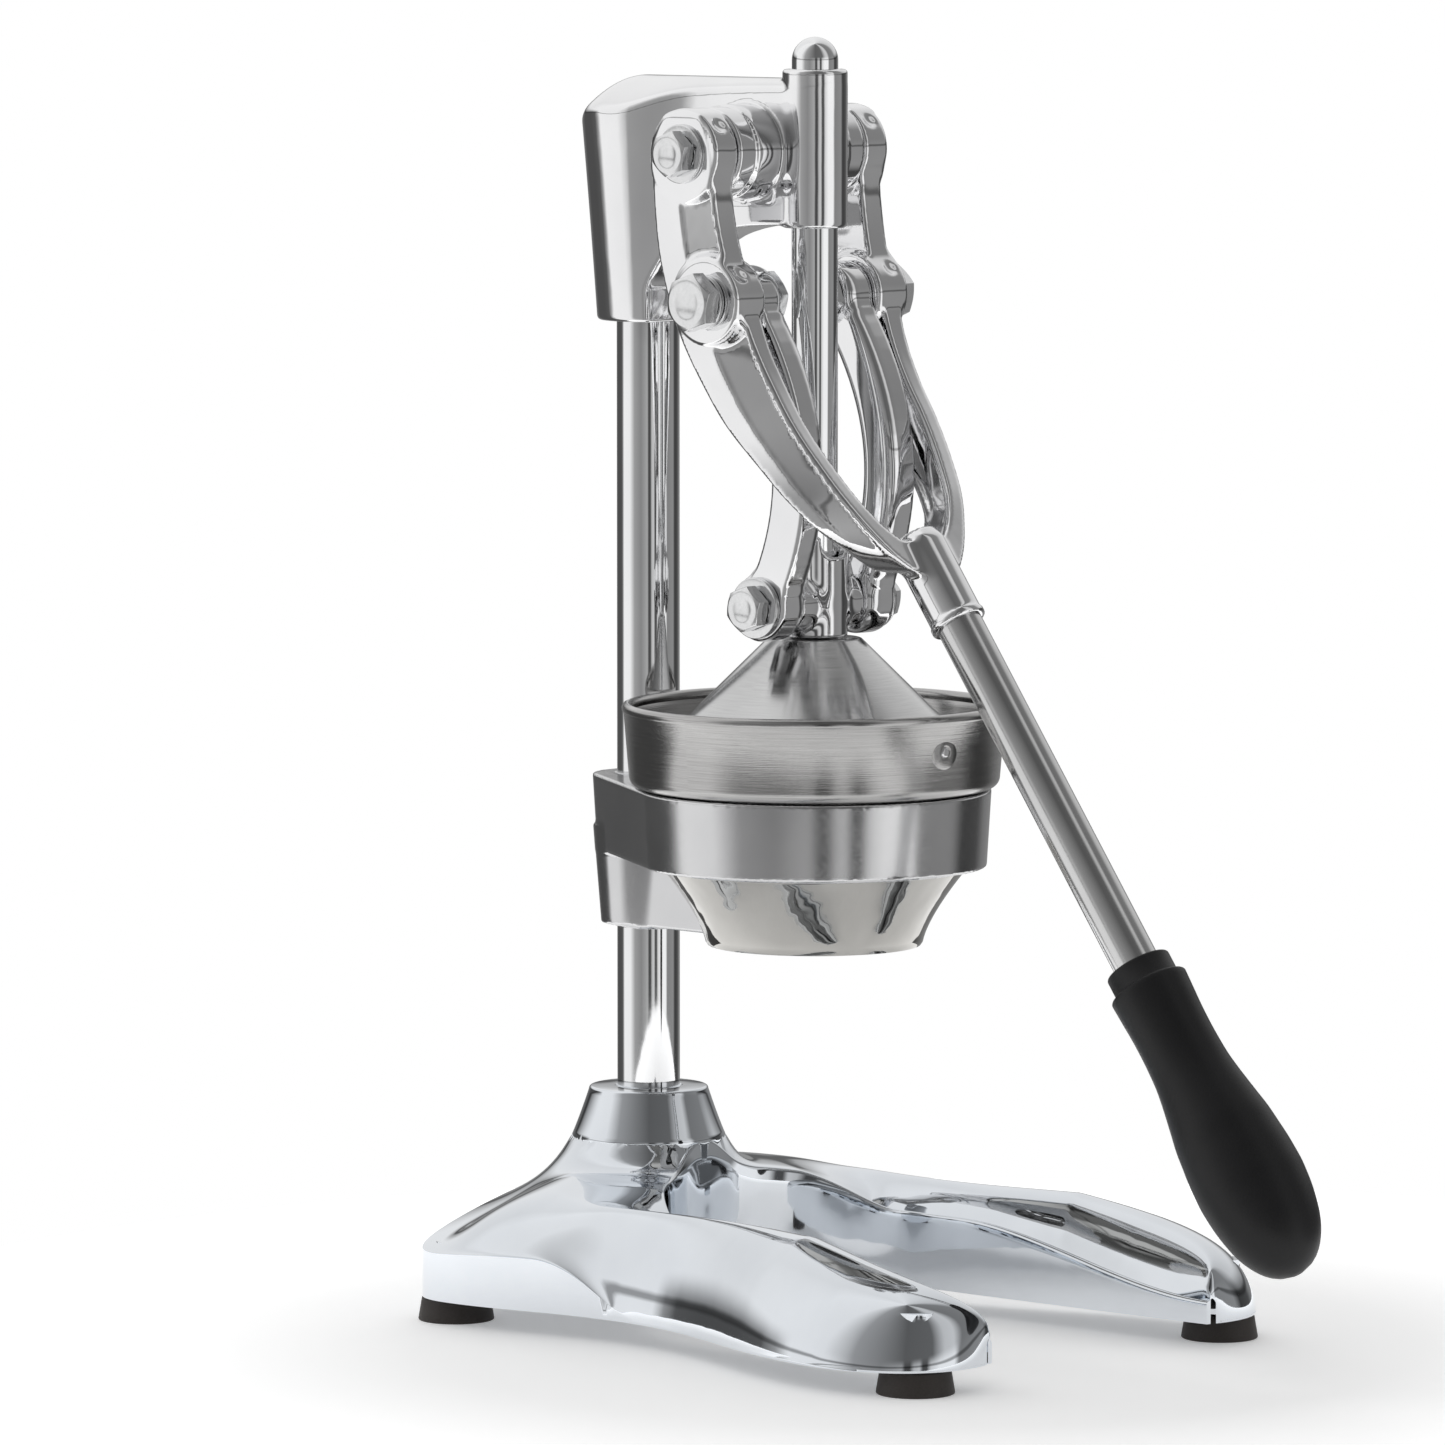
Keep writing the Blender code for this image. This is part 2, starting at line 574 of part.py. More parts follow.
def build_press(parent, finish):
    pivot = CROSS_PIVOT
    top = [(ROD_RADIUS * math.cos(a), ROD_TOP_Z - ROD_RADIUS + ROD_RADIUS * math.sin(a))
           for a in (0, math.pi / 8, math.pi / 4, 3 * math.pi / 8)]
    rod = turned([(0, ROD_BOTTOM_Z + 12), (2.5 + GAP, ROD_BOTTOM_Z + 12), (2.5 + GAP, ROD_BOTTOM_Z),
                  (ROD_RADIUS, ROD_BOTTOM_Z)] + top + [(0, ROD_TOP_Z)], SMALL_ROUND)
    make_object("press_rod", rod, finish["chrome"], parent, pivot)

    barrel = turned([(0, CROSSHEAD_BOTTOM_Z), (CROSSHEAD_RADIUS, CROSSHEAD_BOTTOM_Z),
                     (CROSSHEAD_RADIUS, 243), (0, 243)], SMALL_ROUND)
    foot = CROSSHEAD_HALF_WIDTH - 0.4
    gusset = [(-foot, 229), (foot, 229), (foot, 240),
              (9.6, CROSSHEAD_TOP_Z - 5), (8.9, CROSSHEAD_TOP_Z), (-8.9, CROSSHEAD_TOP_Z),
              (-9.6, CROSSHEAD_TOP_Z - 5), (-foot, 240)]
    web = ring_loft([[(x, y, z) for x, z in gusset] for y in (-6.0, 6.0)])
    bosses = circle_plug(8.5, -CROSSHEAD_HALF_WIDTH, CROSSHEAD_HALF_WIDTH, SMALL_ROUND)
    tools = [
        ("UNION", web),
        ("UNION", along_x(bosses, pivot, 0)),
        ("DIFFERENCE", circle_plug(ROD_RADIUS + GAP, ROD_BOTTOM_Z - GAP, 300, SMALL_ROUND)),
        ("DIFFERENCE", circle_plug(2.5 + GAP, 200, 250, TINY_ROUND)),
    ]
    for side in (-1, 1):
        bore = circle_plug(SMALL_BOLT[2] + GAP, CROSS_BOLT_END_X - GAP, 20, TINY_ROUND)
        tools.append(("DIFFERENCE", along_x(bore, pivot, 0, side)))
    combine("crosshead", barrel, tools, finish["polished"], parent, pivot)
    for side, label in ((-1, "left"), (1, "right")):
        seat = LINK_OUTER_X + GAP
        outer, thickness = CROSS_WASHER
        plate = washer(outer, SMALL_BOLT[2] + GAP, thickness)
        make_object(f"cross_washer_{label}", along_x(plate, pivot, seat, side), finish["zinc"], parent, pivot)
        head = seat + thickness + GAP
        bolt = hex_bolt(SMALL_BOLT, head - CROSS_BOLT_END_X)
        make_object(f"cross_bolt_{label}", along_x(bolt, pivot, head, side), finish["zinc"], parent, pivot)

    slope = (CONE_RIM_RADIUS - CONE_TOP_RADIUS) / (CONE_TOP_Z - CONE_RIM_Z)
    inner_drop = SHEET * math.sqrt(1 + slope * slope) / slope
    cone = turned([(2.5 + GAP, CONE_TOP_Z), (CONE_TOP_RADIUS, CONE_TOP_Z), (CONE_RIM_RADIUS, CONE_RIM_Z),
                   (CONE_RIM_RADIUS, CONE_RIM_Z - 2.5), (CONE_RIM_RADIUS - SHEET, CONE_RIM_Z - 2.5),
                   (CONE_RIM_RADIUS - SHEET, CONE_RIM_Z - inner_drop + SHEET),
                   (CONE_TOP_RADIUS - 0.6, CONE_TOP_Z - SHEET), (2.5 + GAP, CONE_TOP_Z - SHEET)])
    make_object("press_cone", cone, finish["brushed"], parent, pivot)
    low = CONE_TOP_Z - SHEET - GAP
    make_object("press_washer", shifted(washer(7.0, 2.8, 1.2), z=low - 1.2), finish["zinc"], parent, pivot)
    screw = pan_screw(4.6, 2.6, 2.5, 14.0)
    make_object("press_screw", shifted(screw, z=low - 1.2 - GAP), finish["zinc"], parent, pivot)


# ---------------------------------------------------------------- links

def link_outline():
    """The curved link from the side: two eyes joined by a bar that bows to the front."""
    low, high = Vector(CROSS_PIVOT), Vector(KNEE_PIVOT)
    steps = 8

    def centre(t):
        return low.lerp(high, t) + Vector((-4 * t * (1 - t) * LINK_BULGE, 0))

    def edge(side):
        points = []
        for i in range(1, steps):
            t = i / steps
            along = (centre(t + 0.01) - centre(t - 0.01)).normalized()
            points.append(centre(t) + side * LINK_HALF_WIDTH * Vector((-along.y, along.x)))
        return points

    top_eye = arc(high, LINK_UPPER_RADIUS, 222, -62, 10)
    low_eye = arc(low, LINK_LOWER_RADIUS, 62, -222, 10)
    return [*low_eye, *edge(1), *top_eye, *edge(-1)[::-1]]


def build_links(parent, finish):
    """The two links, each with its knee nut on a stud that fills the link's upper bore."""
    pivot = CROSS_PIVOT
    for side, label in ((-1, "left"), (1, "right")):
        low, high = sorted((LINK_INNER_X * side, LINK_OUTER_X * side))
        bar = prism(link_outline(), low, high)
        tools = []
        for hole, radius in ((KNEE_PIVOT, KNEE_BOLT[2]), (CROSS_PIVOT, SMALL_BOLT[2])):
            tools.append(("DIFFERENCE", along_x(circle_plug(radius + GAP, 0, 40, TINY_ROUND), hole, 0, side)))
        combine(f"link_{label}", bar, tools, finish["polished"], parent, pivot)

        nut = hex_bolt((KNEE_BOLT[0], KNEE_NUT_HEIGHT, KNEE_BOLT[2]), LINK_OUTER_X - LINK_INNER_X + GAP)
        make_object(f"knee_nut_{label}", along_x(nut, KNEE_PIVOT, -(LINK_INNER_X - GAP), -side),
                    finish["zinc"], parent, pivot)


# ---------------------------------------------------------------- yoke, handle and pivots

def yoke_sections():
    """Level sections of the +X arm as (z, rear y, rear outer x, front y, front outer x, thickness)."""
    return [
        (392.0, 26.0, 41.0, 13.0, 41.0, 10.6),
        (378.0, 32.6, 41.0, 8.0, 41.0, 10.6),
        (362.0, 32.4, 41.0, 6.6, 41.0, 10.6),
        (343.0, 29.6, 41.0, 2.4, 40.0, 10.4),
        (331.0, 25.8, 41.0, -2.4, 39.0, 9.6),
        (318.5, 20.6, 40.6, -7.0, 37.6, 8.8),
        (305.0, 12.6, 39.8, -14.2, 36.4, 8.4),
        (292.7, 4.0, 38.6, -22.4, 35.6, 8.0),
        (280.0, -8.5, 37.0, -31.5, 32.6, 8.0),
        (268.8, -19.8, 34.8, -39.4, 28.4, 8.4),
        (260.0, -28.4, 30.0, -45.0, 23.0, 10.0),
        (253.0, -34.6, 23.0, -49.5, 16.6, 14.0),
        (247.0, -39.0, 15.0, -53.5, 10.0, 18.0),
    ]


def yoke_arm(side):
    rings = []
    for z, rear, rear_x, front, front_x, thick in yoke_sections():
        soft = 0.2 * thick
        ring = [(rear_x - soft, rear), (rear_x, rear - soft), (front_x, front + soft), (front_x - soft, front),
                (front_x - thick + soft, front), (front_x - thick, front + soft),
                (rear_x - thick, rear - soft), (rear_x - thick + soft, rear)]
        rings.append([(x * side, y, z) for x, y in ring])
    return ring_loft(rings)


def along_handle(bm, distance=0.0):
    """Lays a Z-turned shape on the handle's axis: +Z runs down the handle from the socket's top."""
    start = Vector((0, *HANDLE_TOP))
    run = (Vector((0, *HANDLE_END)) - start).normalized()
    turn = Vector((0, 0, 1)).rotation_difference(run).to_matrix().to_4x4()
    return moved(bm, Matrix.Translation(start + run * distance) @ turn)


def build_lever(parent, finish):
    pivot = LEVER_PIVOT
    tools = [("UNION", yoke_arm(-1))]
    for side in (-1, 1):
        for eye, radius, inner in ((LEVER_PIVOT, YOKE_UPPER_RADIUS, YOKE_INNER_X),
                                   (KNEE_PIVOT, YOKE_LOWER_RADIUS, LINK_OUTER_X + GAP)):
            hub = circle_plug(radius, inner, YOKE_OUTER_X + 0.02, SMALL_ROUND)
            tools.append(("UNION", along_x(hub, eye, 0, side)))
    rim = SOCKET_RADIUS + 0.5
    socket = turned([(0, -2), (SOCKET_RADIUS - 2, -2), (SOCKET_RADIUS, 3), (SOCKET_RADIUS, SOCKET_LENGTH - 2.5),
                     (rim, SOCKET_LENGTH - 2), (rim, SOCKET_LENGTH), (0, SOCKET_LENGTH)], SMALL_ROUND)
    tools.append(("UNION", along_handle(socket)))
    tools.append(("DIFFERENCE", along_handle(circle_plug(HANDLE_RADIUS + GAP, 8, 60, SMALL_ROUND + 6))))
    for side in (-1, 1):
        for eye, radius in ((LEVER_PIVOT, SMALL_BOLT[2]), (KNEE_PIVOT, KNEE_BOLT[2])):
            bore = circle_plug(radius + GAP, 20, 60, TINY_ROUND)
            tools.append(("DIFFERENCE", along_x(bore, eye, 0, side)))
    combine("lever_yoke", yoke_arm(1), tools, finish["polished"], parent, pivot)

    reach = (Vector(HANDLE_END) - Vector(HANDLE_TOP)).length
    bar_end = reach + GRIP_LENGTH * 0.7
    tube = turned([(HANDLE_RADIUS - 1.4, 8 + GAP), (HANDLE_RADIUS, 8 + GAP), (HANDLE_RADIUS, bar_end),
                   (HANDLE_RADIUS - 1.4, bar_end)], SMALL_ROUND)
    make_object("handle_tube", along_handle(tube), finish["satin"], parent, pivot)
    make_object("handle_grip", along_handle(grip(bar_end - reach + 1.0), reach), finish["grip"], parent, pivot)

    for side, label in ((-1, "left"), (1, "right")):
        seat = YOKE_OUTER_X + GAP
        outer, thickness = KNEE_WASHER
        plate = washer(outer, KNEE_BOLT[2] + GAP, thickness)
        make_object(f"knee_washer_{label}", along_x(plate, KNEE_PIVOT, seat, side), finish["zinc"],
                    parent, pivot)
        head = seat + thickness + GAP
        bolt = hex_bolt(KNEE_BOLT, head - LINK_OUTER_X - GAP)
        make_object(f"knee_bolt_{label}", along_x(bolt, KNEE_PIVOT, head, side), finish["zinc"], parent, pivot)


def grip(bore_depth):
    """The moulded grip: a collar, a slim waist and a bulb, hollow for the tube."""
    body = bezier([(12.8, 4.5), (11.3, 26), (12.6, 38), (18.4, 56), (18.6, 76), (17.2, 92),
                   (12.6, GRIP_LENGTH - 3), (0, GRIP_LENGTH - 3)], 14)
    bore = HANDLE_RADIUS + GAP
    start = [(0, bore_depth), (bore, bore_depth), (bore, -3.0), (9.8, -3.0), (10.6, -2.0), (10.6, 4.4)]
    return turned(start + body, SMALL_ROUND)


def build_lever_pivots(parent, finish):
    """Washers and bolts that carry the yoke; they are screwed into the head's bosses."""
    for side, label in ((-1, "left"), (1, "right")):
        seat = YOKE_OUTER_X + GAP
        outer, thickness = LEVER_WASHER
        plate = washer(outer, SMALL_BOLT[2] + GAP, thickness)
        make_object(f"lever_washer_{label}", along_x(plate, LEVER_PIVOT, seat, side), finish["zinc"], parent)
        head = seat + thickness + GAP
        bolt = hex_bolt(SMALL_BOLT, head - BOSS_END_X + 16.0)
        make_object(f"lever_bolt_{label}", along_x(bolt, LEVER_PIVOT, head, side), finish["zinc"], parent)


# ---------------------------------------------------------------- assembly

def finishes():
    return {
        "chrome_base": material("chrome_base", (0.86, 0.87, 0.89), 0.06, 1.0),
        "chrome": material("chrome", (0.82, 0.83, 0.85), 0.08, 1.0),
        "polished": material("polished_casting", (0.88, 0.88, 0.89), 0.12, 1.0),
        "brushed": material("brushed_steel", (0.62, 0.62, 0.62), 0.32, 1.0),
        "satin": material("satin_steel", (0.70, 0.70, 0.71), 0.25, 1.0),
        "zinc": material("zinc_plate", (0.66, 0.66, 0.67), 0.30, 1.0),
        "rubber": material("foot_rubber", (0.03, 0.026, 0.024), 0.55, 0.0),
        "grip": material("grip_plastic", (0.025, 0.025, 0.027), 0.48, 0.0),
    }


def main():
    for leftover in list(bpy.data.objects):
        bpy.data.objects.remove(leftover)
    finish = finishes()
    frame = empty("frame", ROD_Y, 0)
    build_base(frame, finish)
    build_feet(frame, finish)
    build_post(frame, finish)
    build_head(frame, finish)
    build_funnel(frame, finish)
    build_strainer(frame, finish)
    build_holder(frame, finish)
    build_lever_pivots(frame, finish)
    build_press(empty("press_axis", *CROSS_PIVOT, frame), finish)
    build_links(empty("link_axis", *CROSS_PIVOT, frame), finish)
    build_lever(empty("lever_axis", *LEVER_PIVOT, frame), finish)


main()
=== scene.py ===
"""Looks of the citrus press juicer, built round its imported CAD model.

Shapes are given in millimetres from the press rod's axis at floor level (+Z up, -Y to the
front) and become metres in the CAD's frame when a piece is made.
"""

import math

import bmesh
import bpy
import numpy as np
from mathutils import Matrix, Vector


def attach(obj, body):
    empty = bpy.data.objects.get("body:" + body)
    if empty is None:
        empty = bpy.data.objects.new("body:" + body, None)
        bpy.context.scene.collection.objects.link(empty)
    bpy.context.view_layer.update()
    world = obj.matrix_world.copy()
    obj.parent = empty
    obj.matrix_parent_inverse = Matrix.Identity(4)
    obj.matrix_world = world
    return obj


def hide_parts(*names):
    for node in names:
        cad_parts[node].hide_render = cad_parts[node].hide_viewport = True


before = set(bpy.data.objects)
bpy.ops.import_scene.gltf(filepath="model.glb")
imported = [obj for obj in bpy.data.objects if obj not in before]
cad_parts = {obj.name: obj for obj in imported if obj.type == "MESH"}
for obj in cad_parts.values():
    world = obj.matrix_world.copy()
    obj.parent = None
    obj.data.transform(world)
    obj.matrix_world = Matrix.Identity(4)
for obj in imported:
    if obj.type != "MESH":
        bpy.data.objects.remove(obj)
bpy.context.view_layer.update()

MM = 0.001
ROD_Y = 44.967

LEVER_PIVOT = (19.5, 378.4)
KNEE_PIVOT = (9.8, 331.8)
CROSS_PIVOT = (0.0, 234.3)
POST_Y = 72.7
POST_RADIUS = 10.2
ROD_RADIUS = 7.4
ROD_TOP = 415.0
HANDLE_START = (0, -44.1, 255.1)
HANDLE_END = (0, -137.2, 125.9)
KNEE_BORE, PIVOT_BORE, POST_BORE, ROD_BORE = 5.3, 4.3, 10.5, 7.7
RING = 128


# -------- meshes

def placed(points):
    """Millimetres from the rod's axis to metres in the CAD's frame."""
    points = np.asarray(points, float).copy()
    points[:, 1] += ROD_Y
    return points * MM


def new_mesh(name, points, faces, weld=0.0):
    mesh = bpy.data.meshes.new(name)
    mesh.from_pydata(placed(points).tolist(), [], [list(map(int, f)) for f in faces])
    mesh.validate()
    bm = bmesh.new()
    bm.from_mesh(mesh)
    if weld:
        bmesh.ops.remove_doubles(bm, verts=bm.verts, dist=weld)
    bmesh.ops.recalc_face_normals(bm, faces=bm.faces)
    bm.to_mesh(mesh)
    bm.free()
    return mesh


def add_piece(name, points, faces, body, nodes, material, sharp=None):
    return finish_piece(name, new_mesh(name, points, faces), body, nodes, material, sharp)


def finish_piece(name, mesh, body, nodes, material, sharp=None):
    mesh.shade_smooth()
    if sharp:
        mesh.set_sharp_from_angle(angle=math.radians(sharp))
    mesh.materials.clear()
    mesh.materials.append(material)
    piece = bpy.data.objects.new(name, mesh)
    bpy.context.scene.collection.objects.link(piece)
    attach(piece, body)
    if nodes:
        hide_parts(*nodes)
    return piece


def strips(pairs):
    """Faces between pairs of rows of point numbers; where a row repeats its point they are triangles."""
    faces = []
    for low, high in pairs:
        for i in range(len(low)):
            j = (i + 1) % len(low)
            corners = list(dict.fromkeys((low[i], low[j], high[j], high[i])))
            if len(corners) > 2:
                faces.append(corners)
    return faces


def turned(profile, segments=RING):
    """Points and faces of a (radius, z) profile turned about Z; off the axis it closes on itself."""
    points, rows = [], []
    angles = 2 * np.pi * np.arange(segments) / segments
    for radius, z in profile:
        if radius == 0:
            rows.append([len(points)] * segments)
            points.append((0.0, 0.0, z))
        else:
            rows.append(range(len(points), len(points) + segments))
            points.extend(zip(radius * np.cos(angles), radius * np.sin(angles), [z] * segments))
    pairs = list(zip(rows, rows[1:]))
    if profile[0][0] > 0:
        pairs.append((rows[-1], rows[0]))
    return np.array(points, float), strips(pairs)


def shifted(shape, x=0.0, y=0.0, z=0.0):
    return shape[0] + np.array((x, y, z)), shape[1]


def changed(shape, matrix):
    turn = np.array(matrix.to_3x3())
    return shape[0] @ turn.T + np.array(matrix.translation), shape[1]


def along_x(shape, pivot, x, side=1):
    """Lays a Z-turned shape along X: its +Z points outward on the given side."""
    turn = Matrix.Rotation(math.radians(90 * side), 4, "Y")
    return changed(shape, Matrix.Translation((x * side, pivot[0], pivot[1])) @ turn)


def bezier(points, steps):
    order = len(points) - 1
    curve = []
    for i in range(steps + 1):
        t = i / steps
        weights = [math.comb(order, k) * t ** k * (1 - t) ** (order - k) for k in range(order + 1)]
        curve.append(tuple(sum(w * p[c] for w, p in zip(weights, points)) for c in range(len(points[0]))))
    return curve


def arc(centre, radius, start, end, steps):
    angles = [math.radians(start + (end - start) * i / steps) for i in range(steps + 1)]
    return [(centre[0] + radius * math.cos(a), centre[1] + radius * math.sin(a)) for a in angles]


def rounded(profile, radius, steps=4):
    """Rounds the corners of a (radius, z) profile that are off the axis."""
    result = []
    count = len(profile)
    for i, point in enumerate(profile):
        here = Vector(point)
        if point[0] == 0:
            result.append(point)
            continue
        before, after = Vector(profile[i - 1]), Vector(profile[(i + 1) % count])
        a, b = before - here, after - here
        if a.length < 1e-6 or b.length < 1e-6 or abs(a.normalized().dot(b.normalized())) > 0.985:
            result.append(point)
            continue
        reach = min(radius, a.length * 0.42, b.length * 0.42)
        start, end = here + a.normalized() * reach, here + b.normalized() * reach
        result.extend(bezier([tuple(start), tuple(here), tuple(end)], steps))
    return result


# -------- smooth solids from distance fields

def soft_min(a, b, k):
    h = np.clip(0.5 + 0.5 * (b - a) / k, 0, 1)
    return b * (1 - h) + a * h - k * h * (1 - h)


def soft_max(a, b, k):
    return -soft_min(-a, -b, k)


def ease(value, low, high):
    t = np.clip((value - low) / (high - low), 0, 1)
    return t * t * (3 - 2 * t)


def radial(u, v):
    """Distance from an axis, kept just off zero so that its slope stays finite."""
    return np.sqrt(u * u + v * v + 1e-9)


def beside(pivot, y, z):
    """Y and Z measured from a pivot."""
    return y - pivot[0], z - pivot[1]


def curve_through(places, values):
    """A smooth function through the given values (cubic Hermite pieces)."""
    xs, ys = np.array(places, float), np.array(values, float)
    order = np.argsort(xs)
    xs, ys = xs[order], ys[order]
    slopes = np.gradient(ys, xs)

    def at(x):
        x = np.clip(x, xs[0], xs[-1])
        i = np.clip(np.searchsorted(xs, x, side="right") - 1, 0, len(xs) - 2)
        h = xs[i + 1] - xs[i]
        t = (x - xs[i]) / h
        return ((2 * t ** 3 - 3 * t ** 2 + 1) * ys[i] + (t ** 3 - 2 * t ** 2 + t) * h * slopes[i]
                + (-2 * t ** 3 + 3 * t ** 2) * ys[i + 1] + (t ** 3 - t ** 2) * h * slopes[i + 1])
    return at


def rod_field(a, b, low_c, high_c, c, radius, edge=1.0):
    """A cylinder about the c axis, from low_c to high_c, with softened rims."""
    side = radial(a, b) - radius
    ends = np.abs(c - (low_c + high_c) / 2) - (high_c - low_c) / 2
    return soft_max(side, ends, edge)


def outline_field(outline, u, v):
    """Signed distance to a closed outline in a plane."""
    best, sign = None, 1.0
    count = len(outline)
    for i in range(count):
        (ax, ay), (bx, by) = outline[i], outline[i - 1]
        ex, ey = bx - ax, by - ay
        wx, wy = u - ax, v - ay
        t = np.clip((wx * ex + wy * ey) / (ex * ex + ey * ey), 0, 1)
        dx, dy = wx - ex * t, wy - ey * t
        gap = dx * dx + dy * dy
        best = gap if best is None else np.minimum(best, gap)
        c1, c2, c3 = v >= ay, v < by, ex * wy > ey * wx
        flip = (c1 & c2 & c3) | (~c1 & ~c2 & ~c3)
        sign = np.where(flip, -sign, sign)
    return sign * np.sqrt(best)


def field_mesh(field, low, high, step):
    """A smooth quad mesh of the surface where the field is zero; the inside is negative."""
    axes = [np.arange(a, b + step, step) for a, b in zip(low, high)]
    shape = tuple(len(a) for a in axes)
    values = np.empty(shape, np.float32)
    for start in range(0, shape[0], 24):
        part = axes[0][start:start + 24][:, None, None]
        values[start:start + 24] = field(part, axes[1][None, :, None], axes[2][None, None, :])
    inside = values < 0
    nx, ny, nz = shape
    count = np.zeros((nx - 1, ny - 1, nz - 1), np.int8)
    corners = [(i, j, k) for i in (0, 1) for j in (0, 1) for k in (0, 1)]
    for i, j, k in corners:
        count += inside[i:nx - 1 + i, j:ny - 1 + j, k:nz - 1 + k]
    active = (count > 0) & (count < 8)
    cells = np.argwhere(active)
    index = np.full(active.shape, -1, np.int64)
    index[active] = np.arange(len(cells))
    total, weight = np.zeros((len(cells), 3)), np.zeros(len(cells))
    for corner in corners:
        for axis in range(3):
            if corner[axis]:
                continue
            a = cells + np.array(corner)
            b = a.copy()
            b[:, axis] += 1
            va, vb = values[tuple(a.T)].astype(float), values[tuple(b.T)].astype(float)
            cross = (va < 0) != (vb < 0)
            t = va[cross] / (va[cross] - vb[cross])
            where = np.tile(np.array(corner, float), (cross.sum(), 1))
            where[:, axis] += t
            total[cross] += where
            weight[cross] += 1
    points = np.array([a[0] for a in axes]) + (cells + total / weight[:, None]) * step
    faces = []
    for axis in range(3):
        u, v = (axis + 1) % 3, (axis + 2) % 3
        lower = [slice(None)] * 3
        upper = [slice(None)] * 3
        lower[axis], upper[axis] = slice(0, -1), slice(1, None)
        a, b = inside[tuple(lower)], inside[tuple(upper)]
        at = np.argwhere(a != b)
        at = at[(at[:, u] >= 1) & (at[:, v] >= 1) & (at[:, u] <= shape[u] - 2) & (at[:, v] <= shape[v] - 2)]
        du, dv = np.zeros(3, int), np.zeros(3, int)
        du[u], dv[v] = 1, 1
        ring = [index[tuple(p.T)] for p in (at - du - dv, at - dv, at, at - du)]
        quads = np.stack(ring, 1)
        outward = a[tuple(at.T)]
        faces.append(np.where(outward[:, None], quads, quads[:, ::-1]))
    faces = np.vstack(faces)
    faces = faces[(faces >= 0).all(1)]
    points = settle(field, points, faces, step)
    return points, faces.tolist()


def settle(field, points, faces, step):
    """Evens out the mesh and draws its points onto the surface."""
    edges = np.vstack([faces[:, [i, (i + 1) % 4]] for i in range(4)])
    edges = np.vstack([edges, edges[:, ::-1]])
    degree = np.bincount(edges[:, 0], minlength=len(points)).astype(float)[:, None]
    for turn in range(3):
        mean = np.zeros_like(points)
        for c in range(3):
            mean[:, c] = np.bincount(edges[:, 0], weights=points[edges[:, 1], c], minlength=len(points))
        if turn < 2:
            points = points * 0.5 + 0.5 * mean / degree
        for _ in range(3):
            points = drawn_in(field, points, step)
    return points


def drawn_in(field, points, step, h=0.02):
    x, y, z = points.T
    value = field(x, y, z)
    slope = np.stack([
        field(x + h, y, z) - field(x - h, y, z),
        field(x, y + h, z) - field(x, y - h, z),
        field(x, y, z + h) - field(x, y, z - h),
    ], 1) / (2 * h)
    size = np.maximum((slope ** 2).sum(1), 0.05)
    move = slope * (value / size)[:, None]
    length = np.sqrt((move ** 2).sum(1))
    return points - move * np.minimum(1, 0.5 * step / np.maximum(length, 1e-9))[:, None]


# -------- materials

